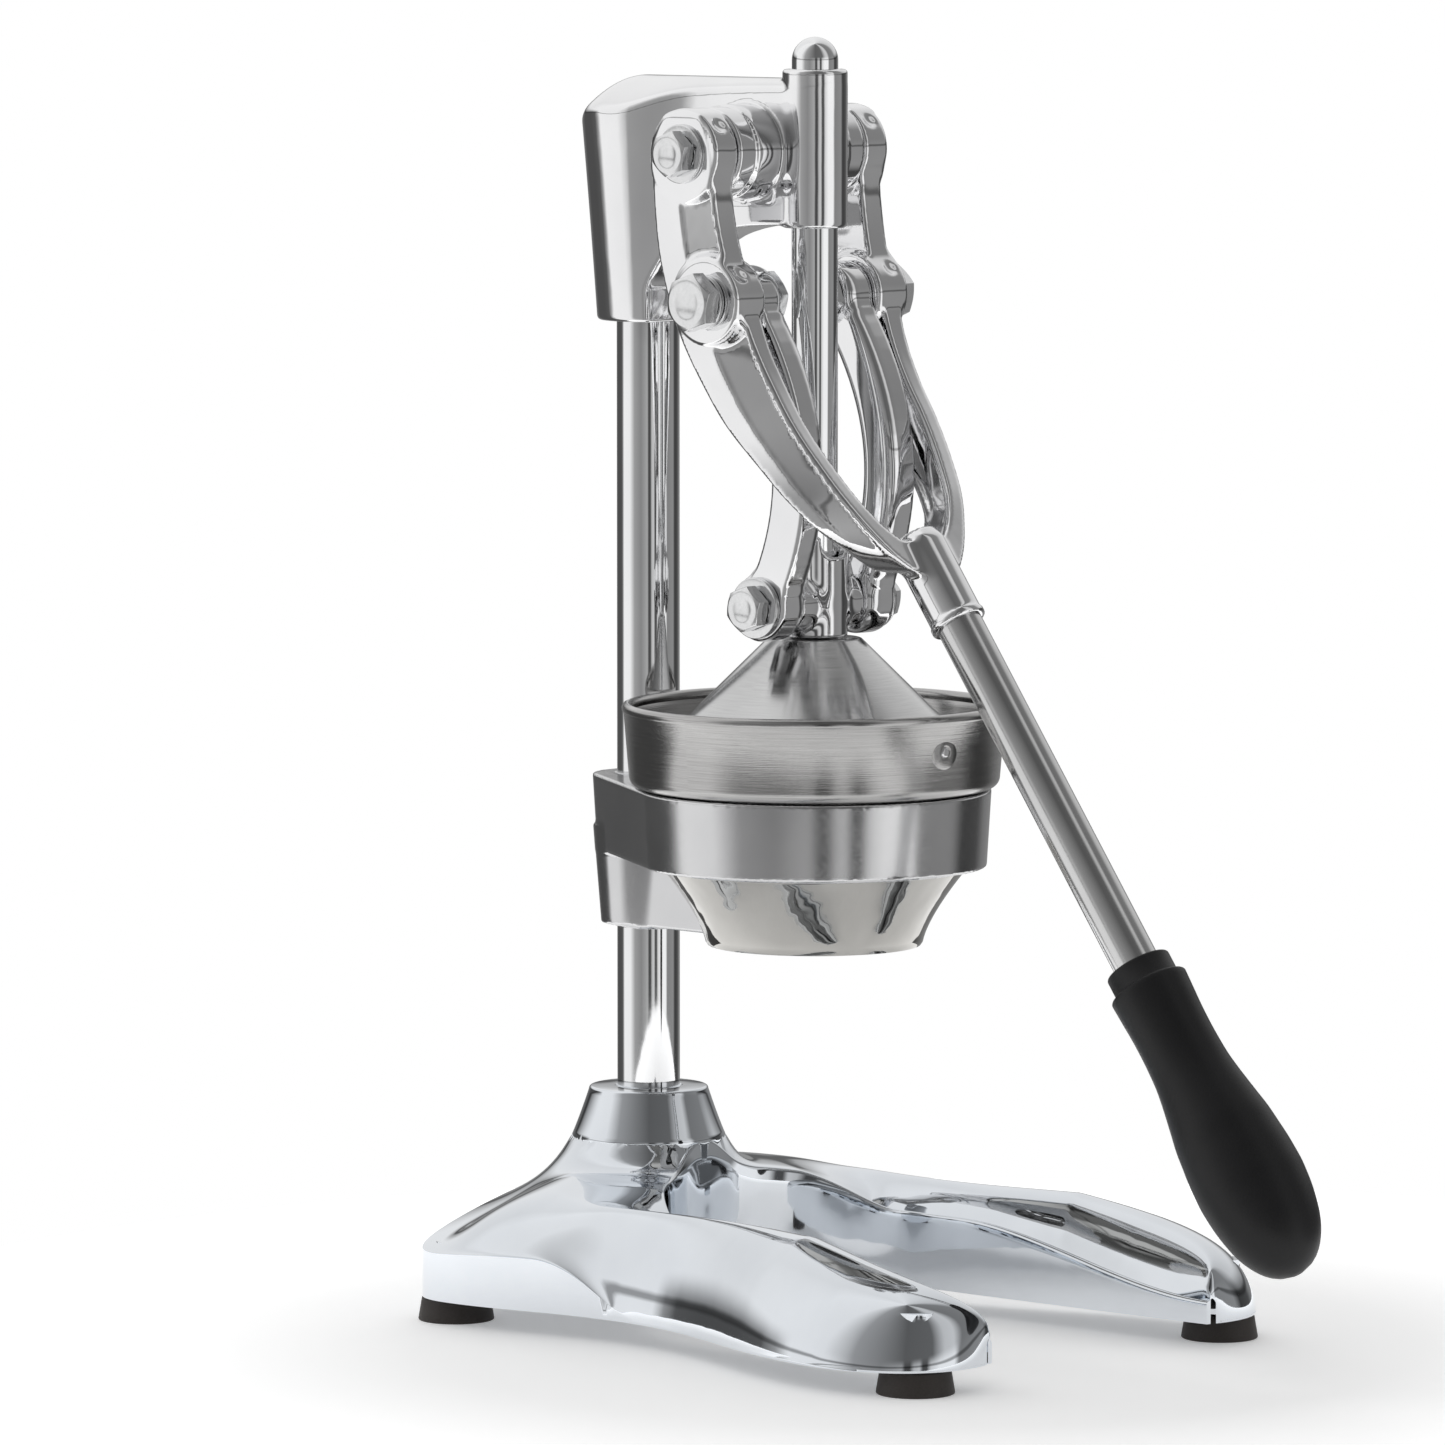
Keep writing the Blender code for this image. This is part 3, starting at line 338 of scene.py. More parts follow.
class Nodes:
    """A short way to write the node tree of a material or of the world."""

    def __init__(self, owner):
        owner.use_nodes = True
        self.owner, self.tree = owner, owner.node_tree
        self.surface = self.tree.nodes.get("Principled BSDF")

    def add(self, kind, **values):
        """A node with properties and inputs given by name; an underscore stands for a space."""
        node = self.tree.nodes.new(kind)
        for key, value in values.items():
            if hasattr(node, key):
                setattr(node, key, value)
            else:
                node.inputs[key.replace("_", " ")].default_value = value
        return node

    def link(self, source, target):
        self.tree.links.new(source, target)

    def feed(self, node, slot, value):
        """Sets an input to a number or links it to an output."""
        if isinstance(value, (int, float)):
            node.inputs[slot].default_value = value
        else:
            self.link(value, node.inputs[slot])

    def object_place(self):
        return self.add("ShaderNodeTexCoord").outputs["Object"]

    def split(self, vector):
        node = self.add("ShaderNodeSeparateXYZ")
        self.link(vector, node.inputs[0])
        return node.outputs

    def scaled(self, source, scale):
        node = self.add("ShaderNodeMapping", Scale=scale)
        self.link(source, node.inputs["Vector"])
        return node.outputs[0]

    def noise(self, vector, scale, detail=3.0, rough=0.5):
        node = self.add("ShaderNodeTexNoise", Scale=scale, Detail=detail, Roughness=rough)
        self.link(vector, node.inputs["Vector"])
        return node.outputs["Fac"]

    def ramp(self, source, low, high, out_low, out_high, kind="LINEAR"):
        node = self.add("ShaderNodeMapRange", interpolation_type=kind, From_Min=low, From_Max=high,
                        To_Min=out_low, To_Max=out_high)
        self.link(source, node.inputs["Value"])
        return node.outputs[0]

    def maths(self, operation, *values):
        node = self.add("ShaderNodeMath", operation=operation)
        for slot, value in enumerate(values):
            self.feed(node, slot, value)
        return node.outputs[0]

    def blended(self, a, b, share):
        """The sum of a's share and the rest of b."""
        return self.maths("ADD", self.maths("MULTIPLY", a, share), self.maths("MULTIPLY", b, 1 - share))

    def mixed(self, kind, share, a, b):
        node = self.add("ShaderNodeMix", data_type="RGBA", blend_type=kind)
        for slot, value in ((0, share), (6, a), (7, b)):
            self.feed(node, slot, value)
        return node.outputs[2]

    def colours(self, source, stops):
        node = self.add("ShaderNodeValToRGB")
        band = node.color_ramp
        while len(band.elements) < len(stops):
            band.elements.new(0.5)
        for element, (place, colour) in zip(band.elements, stops):
            element.position = place
            element.color = (*colour, 1)
        self.link(source, node.inputs["Fac"])
        return node.outputs["Color"]

    def greys(self, source, stops):
        return self.colours(source, [(place, (level,) * 3) for place, level in stops])

    def tint(self, source, dark, light, low=0.3, high=0.7):
        self.link(self.colours(source, ((low, dark), (high, light))), self.surface.inputs["Base Color"])

    def sheen(self, source, least, most):
        self.link(self.ramp(source, 0.3, 0.7, least, most), self.surface.inputs["Roughness"])

    def bump(self, height, strength, distance):
        node = self.add("ShaderNodeBump", Strength=strength, Distance=distance)
        self.link(height, node.inputs["Height"])
        self.link(node.outputs["Normal"], self.surface.inputs["Normal"])

    def set(self, **values):
        for key, value in values.items():
            self.surface.inputs[key.replace("_", " ")].default_value = value


def new_material(name):
    return Nodes(bpy.data.materials.new(name))


def polished_metal(name, light, dark, rough, waviness):
    """Bright metal with faint polishing haze, fine wipe marks and a slight waviness."""
    n = new_material(name)
    place = n.object_place()
    haze = n.noise(place, 28.0, 4.0)
    marks = n.noise(n.scaled(place, (260.0, 900.0, 1500.0)), 1.0, 2.0)
    n.tint(haze, dark, light, 0.25, 0.75)
    n.sheen(n.blended(haze, marks, 0.6), rough * 0.7, rough * 1.45)
    n.bump(n.noise(place, 55.0, 2.0), 1.0, waviness)
    n.set(Metallic=1.0)
    return n.owner


def turned_metal(name, light, dark, rough, fineness, anisotropy, depth):
    """Metal brushed round the rod's axis: fine rings that vary along the radius and height."""
    n = new_material(name)
    place = n.object_place()
    x, y, z = n.split(place)
    y = n.maths("SUBTRACT", y, ROD_Y * MM)
    radius = n.maths("SQRT", n.maths("ADD", n.maths("MULTIPLY", x, x), n.maths("MULTIPLY", y, y)))
    gather = n.add("ShaderNodeCombineXYZ")
    n.link(n.maths("MULTIPLY", n.maths("SUBTRACT", radius, z), fineness), gather.inputs[0])
    n.link(n.maths("MULTIPLY", n.maths("ADD", radius, z), fineness), gather.inputs[1])
    n.link(n.maths("MULTIPLY", n.maths("ARCTAN2", y, x), 2.2), gather.inputs[2])
    rings = n.noise(gather.outputs[0], 1.0, 5.0, 0.65)
    n.tint(rings, dark, light)
    n.sheen(n.blended(rings, n.noise(place, 22.0, 3.0), 0.7), rough * 0.75, rough * 1.35)
    n.bump(rings, 1.0, depth)
    tangent = n.add("ShaderNodeTangent", direction_type="RADIAL", axis="Z")
    n.link(tangent.outputs[0], n.surface.inputs["Tangent"])
    n.set(Metallic=1.0, Anisotropic=anisotropy, Anisotropic_Rotation=0.25)
    return n.owner


def zinc_metal(name):
    n = new_material(name)
    place = n.object_place()
    mix = n.blended(n.noise(place, 900.0, 3.0), n.noise(place, 160.0, 3.0), 0.5)
    n.tint(mix, (0.72, 0.725, 0.73), (0.84, 0.84, 0.845))
    n.sheen(mix, 0.12, 0.2)
    n.bump(mix, 0.25, 0.00002)
    n.set(Metallic=1.0)
    return n.owner


def moulded(name, dark, light, rough, grain_scale, depth, level):
    """Moulded plastic or rubber: a fine even grain and slight wear in the sheen."""
    n = new_material(name)
    place = n.object_place()
    grain = n.noise(place, grain_scale, 3.0, 0.6)
    mix = n.blended(grain, n.noise(place, 30.0, 4.0), 0.4)
    n.tint(mix, dark, light)
    n.sheen(mix, rough * 0.88, rough * 1.14)
    n.bump(grain, 0.7, depth)
    n.set(Metallic=0.0, Specular_IOR_Level=level)
    return n.owner


POLISHED = polished_metal("polished_casting", (0.92, 0.92, 0.925), (0.83, 0.83, 0.84), 0.06, 0.00016)
CHROME = polished_metal("chrome", (0.90, 0.905, 0.91), (0.84, 0.845, 0.855), 0.05, 0.00003)
CHROME_BASE = polished_metal("chrome_base", (0.80, 0.83, 0.865), (0.72, 0.75, 0.79), 0.035, 0.00007)
BRUSHED = turned_metal("brushed_steel", (0.55, 0.545, 0.54), (0.39, 0.385, 0.38), 0.16, 2600.0, 0.8, 0.00004)
BRUSHED_CONE = turned_metal("brushed_cone", (0.66,) * 3, (0.58,) * 3, 0.15, 1500.0, 0.85, 0.000006)
SATIN = polished_metal("satin_steel", (0.74, 0.74, 0.745), (0.64, 0.64, 0.65), 0.16, 0.00003)
BOWL = polished_metal("polished_bowl", (0.55, 0.54, 0.515), (0.46, 0.45, 0.43), 0.045, 0.0006)
SATIN_TUBE = polished_metal("satin_tube", (0.70, 0.70, 0.70), (0.60, 0.60, 0.60), 0.13, 0.00002)
ZINC = zinc_metal("zinc_plate")
RUBBER = moulded("foot_rubber", (0.022, 0.018, 0.016), (0.045, 0.038, 0.034), 0.55, 1600.0, 0.00008, 0.4)
GRIP = moulded("grip_plastic", (0.007, 0.007, 0.0075), (0.013, 0.013, 0.014), 0.42, 2200.0, 0.00006, 0.32)


# -------- base

BASE_EDGE_Z = 8.0
BASE_WALL = 3.6
INNER_RADIUS = 48.0
LEG_FRONT_Y = -121.0
COLLAR_RADIUS = 25.0
FRONT_FOOT = (73.6, -108.5)
REAR_FOOT = (64.9, 97.5)


def outer_outline():
    tip = bezier([(57, -122.4), (68, -125.0), (93, -122), (94.8, -86)], 56)
    side = bezier([(94.8, -86), (92, -40), (70, -20), (70.5, 22)], 56)
    flank = bezier([(70.5, 22), (71, 50), (79.5, 66), (79.3, 90)], 40)
    rear = bezier([(79.3, 90), (78.5, 112), (58, 115), (0, 115)], 60)
    return tip + side[1:] + flank[1:] + rear[1:]


def inner_outline(count):
    leg = abs(LEG_FRONT_Y)
    bend = INNER_RADIUS * math.pi / 2
    points = []
    for i in range(count):
        along = (leg + bend) * i / (count - 1)
        if along < leg:
            y = LEG_FRONT_Y + along
            points.append((INNER_RADIUS + 4.0 * (y / LEG_FRONT_Y) ** 2, y))
        else:
            angle = (along - leg) / INNER_RADIUS
            points.append((INNER_RADIUS * math.cos(angle), INNER_RADIUS * math.sin(angle)))
    return points


def even(points, count):
    """Points at equal steps along a line of points."""
    points = np.array(points, float)
    run = np.concatenate([[0], np.cumsum(np.linalg.norm(np.diff(points, axis=0), axis=1))])
    at = np.linspace(0, run[-1], count)
    return np.stack([np.interp(at, run, points[:, c]) for c in range(points.shape[1])], 1)


def leg_heights(y, share):
    """Heights above the edge of a leg's crown and of its inner rim; they drop to the nose."""
    nose = math.sqrt(min(1.0, share / 0.3)) if share < 0.3 else 1.0
    crown = (34.5 + 9.0 * float(ease(y, 10, 70))) * (0.28 + 0.72 * nose)
    inner = (24.5 + 14.0 * float(ease(y, 5, 45))) - 17.0 * float(ease(-y, 20, 122))
    return crown, min(inner, crown * 0.96)


def dome(v, crown, inner, power):
    """Height of the plain casting at a share v of the way from its inner to its outer edge."""
    peak = 0.42
    if v >= peak:
        return crown * (1 - ((v - peak) / (1 - peak)) ** power) ** (1 / power)
    return crown - (crown - inner) * ((peak - v) / peak) ** 2


def collar_flare(x, y):
    """Height of the skirt that spreads from the collar's foot."""
    beyond = max(math.hypot(x, y - POST_Y), COLLAR_RADIUS) - COLLAR_RADIUS
    return 56.5 - 15.0 * (1 - math.exp(-beyond / 9.0)) - 0.32 * beyond


def base_section(inside, outside, share, steps):
    """A closed ring of points through the hollow casting, from its inner to its outer edge."""
    crown, inner = leg_heights(inside[1], share)
    power = 1.75 - 0.25 * float(ease(inside[1], 0, 45))
    run = np.array(outside) - np.array(inside)
    length = float(np.linalg.norm(run))
    wall = min(BASE_WALL, length * 0.3)
    inset = wall / length

    def plain(v):
        return BASE_EDGE_Z + dome(v, crown, inner, power)

    def top(v):
        x, y = inside[0] + run[0] * v, inside[1] + run[1] * v
        if y <= 0:
            return plain(v)
        faded = 16.0 * (1 - float(ease(y, 0, 55))) * float(ease(v, 0.45, 0.9))
        flare = collar_flare(x, y) - faded
        return float(soft_max(np.float64(plain(v)), np.float64(flare), 5.0 * float(ease(y, 0, 20)) + 0.01))

    def place(v, z):
        return (inside[0] + run[0] * v, inside[1] + run[1] * v, z)

    lip = 1.3
    ring = [place(0.0, BASE_EDGE_Z), place(0.0, BASE_EDGE_Z + 1.5)]
    first = top(0.0)
    for k in (0.35, 0.7, 0.88):
        ring.append(place(0.0, BASE_EDGE_Z + 1.5 + (first - lip - BASE_EDGE_Z - 1.5) * k))
    for k in range(5):
        angle = math.pi / 2 * k / 4
        ring.append(place(lip / length * (1 - math.cos(angle)), first - lip + lip * math.sin(angle)))
    start = lip / length
    spread = [start + (1 - start) * math.sin(math.pi / 2 * (i + 1) / steps) for i in range(steps - 1)]
    ring += [place(v, top(v)) for v in spread]
    ring += [place(1, BASE_EDGE_Z + 0.7), place(1, BASE_EDGE_Z)]
    under = [place(1 - inset, BASE_EDGE_Z)]
    for i in range(20):
        v = math.sin(math.pi / 2 * (19 - i) / 20)
        w = inset + (1 - 2 * inset) * v
        under.append(place(w, max(BASE_EDGE_Z + 1.0, plain(w) - wall)))
    under.append(place(inset, BASE_EDGE_Z))
    return ring + under


def helper_object(name, shape):
    """A loose object for Boolean steps."""
    helper = bpy.data.objects.new(name, new_mesh(name, *shape, weld=1e-6))
    bpy.context.scene.collection.objects.link(helper)
    return helper


def combined(name, shape, tools):
    """A mesh with Boolean steps, given as (operation, shape), applied to it."""
    piece = helper_object(name, shape)
    for operation, tool_shape in tools:
        tool = helper_object("tool", tool_shape)
        step = piece.modifiers.new("step", "BOOLEAN")
        step.operation = operation
        step.solver = "EXACT"
        step.object = tool
        bpy.context.view_layer.update()
        solved = piece.evaluated_get(bpy.context.evaluated_depsgraph_get())
        result = bpy.data.meshes.new_from_object(solved)
        piece.modifiers.clear()
        piece.data = result
        bpy.data.objects.remove(tool)
    mesh = piece.data
    bpy.data.objects.remove(piece)
    return mesh


def foot_plug():
    radius, low, high = 6.5, BASE_EDGE_Z + 0.02, 25.5
    return turned([(0, low), (radius, low), (radius, high), (0, high)], 24)


def build_base():
    count = 170
    outline = even(outer_outline(), count)
    inner = even(inner_outline(count), count)
    half = [base_section(i, o, k / (count - 1), 44) for k, (i, o) in enumerate(zip(inner, outline))]
    rings = half + [[(-x, y, z) for x, y, z in ring] for ring in half[-2::-1]]
    size = len(rings[0])
    points = np.array([p for ring in rings for p in ring], float)
    rows = [range(r * size, (r + 1) * size) for r in range(len(rings))]
    faces = strips(zip(rows, rows[1:])) + [rows[0][::-1], rows[-1]]
    collar = turned([(0, 24), (17, 24), (24, 46), (24.6, 54), (25.05, 56.3)]
                    + bezier([(25.05, 56.3), (23.2, 60.5), (20.6, 68.0), (19.5, 71.4)], 10)[1:]
                    + arc((18.5, 71.4), 1.0, 10, 90, 5) + [(0, 72.4)])
    socket = turned([(0, 20), (4.5, 20), (4.5, 29.7), (POST_BORE, 29.7), (POST_BORE, 71.6), (11.3, 72.6),
                     (11.3, 80), (0, 80)], 96)
    tools = [("UNION", shifted(collar, y=POST_Y))]
    for x, y in (FRONT_FOOT, REAR_FOOT):
        for side in (-1, 1):
            tools.append(("UNION", shifted(foot_plug(), x * side, y)))
    tools.append(("DIFFERENCE", shifted(socket, y=POST_Y)))
    mesh = combined("base", (points, faces), tools)
    finish_piece("base_shell", mesh, "frame", ["base_casting"], CHROME_BASE, 38)


def build_feet():
    profile = rounded([(2.8, 3.0), (5.2, 3.0), (5.2, 0.0), (12.4, 0.0), (11.1, 7.7), (2.8, 7.7)], 0.7)
    for end, (x, y) in (("front", FRONT_FOOT), ("rear", REAR_FOOT)):
        for side, label in ((-1, "left"), (1, "right")):
            points, faces = shifted(turned(profile, 64), x * side, y)
            add_piece(f"rubber_foot_{end}_{label}", points, faces, "frame", [f"foot_{end}_{label}"],
                      RUBBER, 40)


# -------- turned parts

def build_post():
    bore, low, top, floor = 8.0, 30.0, 372.0, 47
    profile = [(0, floor + 5), (bore, floor + 5), (bore, top), (POST_RADIUS, top), (POST_RADIUS, low),
               (4.3, low), (4.3, floor), (0, floor)]
    points, faces = shifted(turned(rounded(profile, 0.5)), y=POST_Y)
    add_piece("post_chrome", points, faces, "frame", ["post_tube"], CHROME, 40)


def build_rod():
    top = arc((0, ROD_TOP - ROD_RADIUS), ROD_RADIUS, 0, 84, 14)
    profile = [(0, 241), (2.8, 241), (2.8, 229), (7.0, 229), (ROD_RADIUS, 229.5)] + top + [(0, ROD_TOP)]
    points, faces = turned(profile)
    add_piece("guide_rod", points, faces, "press", ["press_rod"], CHROME, 40)


def build_cone():
    skin = [(2.8, 223.3), (14.2, 223.3)] + arc((14.2, 221.6), 1.7, 90, 46, 5)[1:] + [(44.8, 193.9)]
    skin += arc((44.4, 192.0), 1.6, 42, 0, 4) + [(46.0, 190.3), (45.7, 190.0), (45.0, 190.0), (44.7, 190.3)]
    skin += [(44.7, 192.3), (14.9, 222.0), (2.8, 222.0)]
    points, faces = turned(skin, 160)
    add_piece("pressing_cone", points, faces, "press", ["press_cone"], BRUSHED_CONE, 40)


BOWL_RIM = 150.0


def bowl_curve(steps):
    return bezier([(49.6, BOWL_RIM), (45.0, 144.5), (36.4, 133.0), (34.9, 125.6)], steps)


def build_funnel():
    roll = arc((60.05, 200.75), 1.75, -50, 230, 18)
    shoulder = arc((55.9, 179.0), 3.6, 270, 360, 8)
    outer = [(34.2, 124.6)] + bowl_curve(18)[::-1] + [(49.6, 174.6)] + arc((50.4, 174.6), 0.8, 180, 90, 3)[1:]
    inner_wall = [(58.2, 197.5), (58.2, 179.2)] + arc((55.6, 179.2), 2.6, 0, -90, 6)[1:] + [(48.3, 176.6)]
    inner_bowl = [(r - 1.3, z + 0.6) for r, z in bowl_curve(18)]
    floor = [(32.5, 125.9), (15.0, 125.9), (15.0, 124.6)]
    points, faces = turned(outer + shoulder + roll + inner_wall + inner_bowl + floor, 160)
    piece = add_piece("cup_funnel", points, faces, "frame", ["juice_funnel"], BRUSHED, 40)
    piece.data.materials.append(BOWL)
    for face in piece.data.polygons:
        if 124.7 * MM < face.center.z < BOWL_RIM * MM:
            face.material_index = 1


def build_strainer():
    """The reamer with its ribs, on a flange pierced by three rings of slots."""
    low, top, around, ribs = 177.0, 178.3, 192, 12
    pitch, gap = 8, 5
    radii = [54, 53.2, 50.5, 47.5, 44.9, 41.9, 39.3, 36.3, 35, 33, 31.5, 30, 28, 25, 22, 19, 16, 13, 10, 8,
             6.5, 5, 3, 1.2]
    slots = {2: 0, 4: 4, 6: 0}
    upper = ((0, 207.4), (3, 207.0), (6.5, 205.0), (30, low + 7), (31.5, low + 3.4), (33, top + 0.6),
             (35, top), (54, top))
    under = ((0, 205.4), (4.5, 203.6), (28, low + 5.8), (33.5, low), (54, low))
    angles = 2 * np.pi * np.arange(around) / around
    points = []
    for table, grooves in ((upper, 1.5), (under, 0.0)):
        places, heights = zip(*table)
        for radius in radii:
            depth = grooves * ease(radius, 5.0, 10.0) * (1 - ease(radius, 25.0, 29.0))
            height = np.interp(radius, places, heights) - depth * np.abs(np.sin(ribs / 2 * angles)) ** 0.7
            points.extend(zip(radius * np.cos(angles), radius * np.sin(angles), height))
        points.append((0.0, 0.0, heights[0]))
    layer = len(radii) * around + 1

    def at(side, row, i):
        return side * layer + row * around + i % around

    def pierced(row, i):
        return row in slots and (i + slots[row]) % pitch < gap

    def wall(a, b):
        faces.append((a, b, b + layer, a + layer))

    def patch(side, row, i):
        below, above = [at(side, row, j) for j in (i, i + 1)], [at(side, row + 1, j) for j in (i + 1, i)]
        faces.append(below + above)

    faces = []
    last = len(radii) - 1
    for i in range(around):
        wall(at(0, 0, i), at(0, 0, i + 1))
    for row in range(last):
        for i in range(around):
            if not pierced(row, i):
                patch(0, row, i)
                patch(1, row, i)
                continue
            wall(at(0, row, i), at(0, row, i + 1))
            wall(at(0, row + 1, i), at(0, row + 1, i + 1))
            for edge, neighbour in ((i, i - 1), (i + 1, i + 1)):
                if not pierced(row, neighbour):
                    wall(at(0, row, edge), at(0, row + 1, edge))
    for side in (0, 1):
        faces += [(at(side, last, i), at(side, last, i + 1), (side + 1) * layer - 1) for i in range(around)]
    add_piece("strainer_reamer", points, faces, "frame", ["strainer_cone"], BRUSHED, 35)


def build_cup_boss():
    """A small round emboss with a pin in it, on the cup's wall left of the front."""
    azimuth, wall, height = math.radians(-5.0), 60.35, 190.6
    ring = rounded([(1.5, 0.1), (2.4, 0.55), (4.6, 0.12), (5.6, -0.25), (5.6, -0.7), (1.5, -0.7)], 0.3, 3)
    pin = rounded([(0, -0.6), (1.7, -0.6), (1.7, 0.35), (1.2, 0.75), (0, 0.8)], 0.25, 3)
    out = Vector((math.sin(azimuth), -math.cos(azimuth), 0))
    turn = Vector((0, 0, 1)).rotation_difference(out).to_matrix().to_4x4()
    place = Matrix.Translation(out * wall + Vector((0, 0, height))) @ turn
    for name, profile, look in (("cup_emboss", ring, BRUSHED), ("cup_rivet", pin, POLISHED)):
        points, faces = changed(turned(profile, 48), place)
        add_piece(name, points, faces, "frame", [], look, 40)


def grip_shape():
    """The moulded grip about its own axis: a collar at z = 0 and a rounded end."""
    outline = [(6.6, 12.7), (12, 12.45), (17, 12.2), (22, 12.1), (30, 12.25), (35.5, 12.6), (41, 13.35),
               (46, 14.2), (51, 15.1), (56, 16.0), (62, 16.65), (67, 17.15), (72, 17.4), (76, 17.5),
               (80, 17.25), (85, 16.7), (90, 15.75), (94, 14.7), (98, 13.1), (101, 11.4), (103.4, 9.6),
               (105.4, 7.4), (107, 4.6), (107.8, 2.2)]
    radius = curve_through(*zip(*outline))
    body = [(float(radius(t)), t) for t in np.linspace(6.6, 107.8, 70)]
    bore, floor = 7.7, 78.7
    profile = [(0, floor), (bore, floor), (bore, -3.0), (9.7, -3.0)] + arc((9.9, -2.3), 0.7, 270, 360, 4)[1:]
    profile += [(10.6, 3.6), (11.0, 4.2), (11.9, 4.4)] + arc((11.9, 5.3), 0.9, 270, 345, 4)[1:]
    return turned(profile + body + [(0, 108.0)], 96)


def handle_matrix(distance):
    """The place at a distance along the handle from its socket, and the handle's length."""
    start, end = Vector(HANDLE_START), Vector(HANDLE_END)
    run = (end - start).normalized()
    turn = Vector((0, 0, 1)).rotation_difference(run).to_matrix().to_4x4()
    return Matrix.Translation(start + run * distance) @ turn, (end - start).length


def build_handle():
    socket, length = handle_matrix(0)
    end, _ = handle_matrix(length)
    points, faces = changed(grip_shape(), end)
    add_piece("grip_moulding", points, faces, "lever", ["handle_grip"], GRIP, 50)
    bore, radius, low, high = 6.0, 7.4, 8.3, length + 77.7
    tube = turned([(bore, low), (radius, low), (radius, high), (bore, high)], 96)
    points, faces = changed(tube, socket)
    add_piece("handle_bar", points, faces, "lever", ["handle_tube"], SATIN_TUBE, 40)


# -------- fasteners

def hex_bolt(across, height, shank, length):
    """A hexagon bolt: chamfered head on z = 0, shank down to -length."""
    count = 72
    angles = 2 * np.pi * np.arange(count) / count
    hexagon = across / 2 / np.cos(angles % (np.pi / 3) - np.pi / 6)
    face, foot = across * 0.47, across * 0.48
    chamfer = height - np.maximum(0.0, hexagon - face) * 0.58
    rings = (
        (face * 0.55, height - 0.12), (face * 0.6, height), (face - 0.3, height), (face, height - 0.08),
        (hexagon - 0.12, chamfer + 0.05), (hexagon, chamfer - 0.15), (hexagon, 0.55), (foot, 0.3), (foot, 0.0),
        (shank, 0.0), (shank, -length),
    )
    points = [np.stack([r * np.cos(angles), r * np.sin(angles), z + 0 * angles], 1) for r, z in rings]
    points.append([(0, 0, height - 0.12), (0, 0, -length)])
    size = len(rings) * count
    rows = [range(start, start + count) for start in range(0, size, count)]
    return np.vstack(points), strips(zip([[size] * count] + rows, rows + [[size + 1] * count]))


def washer(outer, inner, thickness):
    return turned(rounded([(inner, 0), (outer, 0), (outer, thickness), (inner, thickness)], 0.4, 3), 72)


def build_fasteners():
    small, knee = (13.0, 5.3, 4.0), (16.5, 6.4, 5.0)
    rows = (
        ("lever", LEVER_PIVOT, 41.3, (9.4, PIVOT_BORE, 1.4), small, 29.1, "frame"),
        ("knee", KNEE_PIVOT, 41.3, (8.6, KNEE_BORE, 1.8), knee, 16.3, "lever"),
        ("cross", CROSS_PIVOT, 27.1, (9.8, PIVOT_BORE, 1.8), small, 19.2, "press"),
    )
    for side, label in ((-1, "left"), (1, "right")):
        spin = Matrix.Rotation(math.radians(11 * side), 4, "Z")
        for name, pivot, seat, plate, size, length, body in rows:
            points, faces = along_x(washer(*plate), pivot, seat, side)
            add_piece(f"{name}_plate_washer_{label}", points, faces, body, [f"{name}_washer_{label}"],
                      ZINC, 35)
            head = changed(hex_bolt(*size, length), spin)
            points, faces = along_x(head, pivot, seat + plate[2] + 0.3, side)
            add_piece(f"{name}_hex_bolt_{label}", points, faces, body, [f"{name}_bolt_{label}"],
                      ZINC, 25)
        nut = changed(hex_bolt(16.5, 4.2, 5.0, 11.6), Matrix.Rotation(math.radians(20), 4, "Z"))
        points, faces = along_x(nut, KNEE_PIVOT, -15.2, -side)
        add_piece(f"knee_hex_nut_{label}", points, faces, "links", [f"knee_nut_{label}"],
                  ZINC, 25)


# -------- castings

UNDER_ARCH = curve_through([-20, -12, 0, 12, 24, 34, 42, 48, 52, 55, 60],
                           [355.4, 355.3, 355.2, 354.9, 354.0, 352.2, 349.8, 346.8, 343.8, 339.0, 330.0])


def build_head():
    foot, socket_top = 322.6, 372.3

    def field(x, y, z):
        to_post = radial(x, y - POST_Y)
        housing = to_post - (15.7 + (z - foot) * 5.5 / 63.0)
        t = np.clip(y / 62.0, 0, 1)
        arm = radial(x, y - 62.0 * t) - (9.9 + 7.0 * t ** 1.7)
        walls = soft_min(housing, arm, 14.0)
        back = np.clip(y - POST_Y, 0, None)
        top = 401.8 - 8.8 * (x / 21.0) ** 2 - 16.5 * (back / 21.5) ** 2.0
        under = soft_min(UNDER_ARCH(np.clip(y, -20, 60)) - z, (57.2 - y) * 0.9, 2.0)
        under = np.maximum(under, foot - z)
        body = soft_max(soft_max(walls, z - top, 2.6), under, 1.6)
        pocket = soft_max(np.abs(y - 26.0) - 17.0, np.abs(z - 376.5) - 14.0, 3.0)
        pocket = soft_max(pocket, (9.0 + 0.09 * y) - np.abs(x), 1.0)
        body = soft_max(body, -pocket, 1.5)
        ey, ez = beside(LEVER_PIVOT, y, z)
        wide = rod_field(ey, ez, -22.0, 22.0, x, 15.3, 0.9)
        slim = rod_field(ey, ez, -29.6, 29.6, x, 14.6, 0.9)
        body = soft_min(body, np.minimum(wide, slim), 1.2)
        body = soft_min(body, rod_field(x, y, 354.3, 404.8, z, 10.4, 1.4), 1.0)
        body = soft_max(body, ROD_BORE - radial(x, y), 0.6)
        socket = soft_max(to_post - POST_BORE, z - socket_top, 0.5)
        return soft_max(body, -socket, 0.6)

    points, faces = field_mesh(field, (-31.5, -13, 320), (31.5, 97, 407), 0.8)
    add_piece("head_body", points, faces, "frame", ["head_casting"], POLISHED)


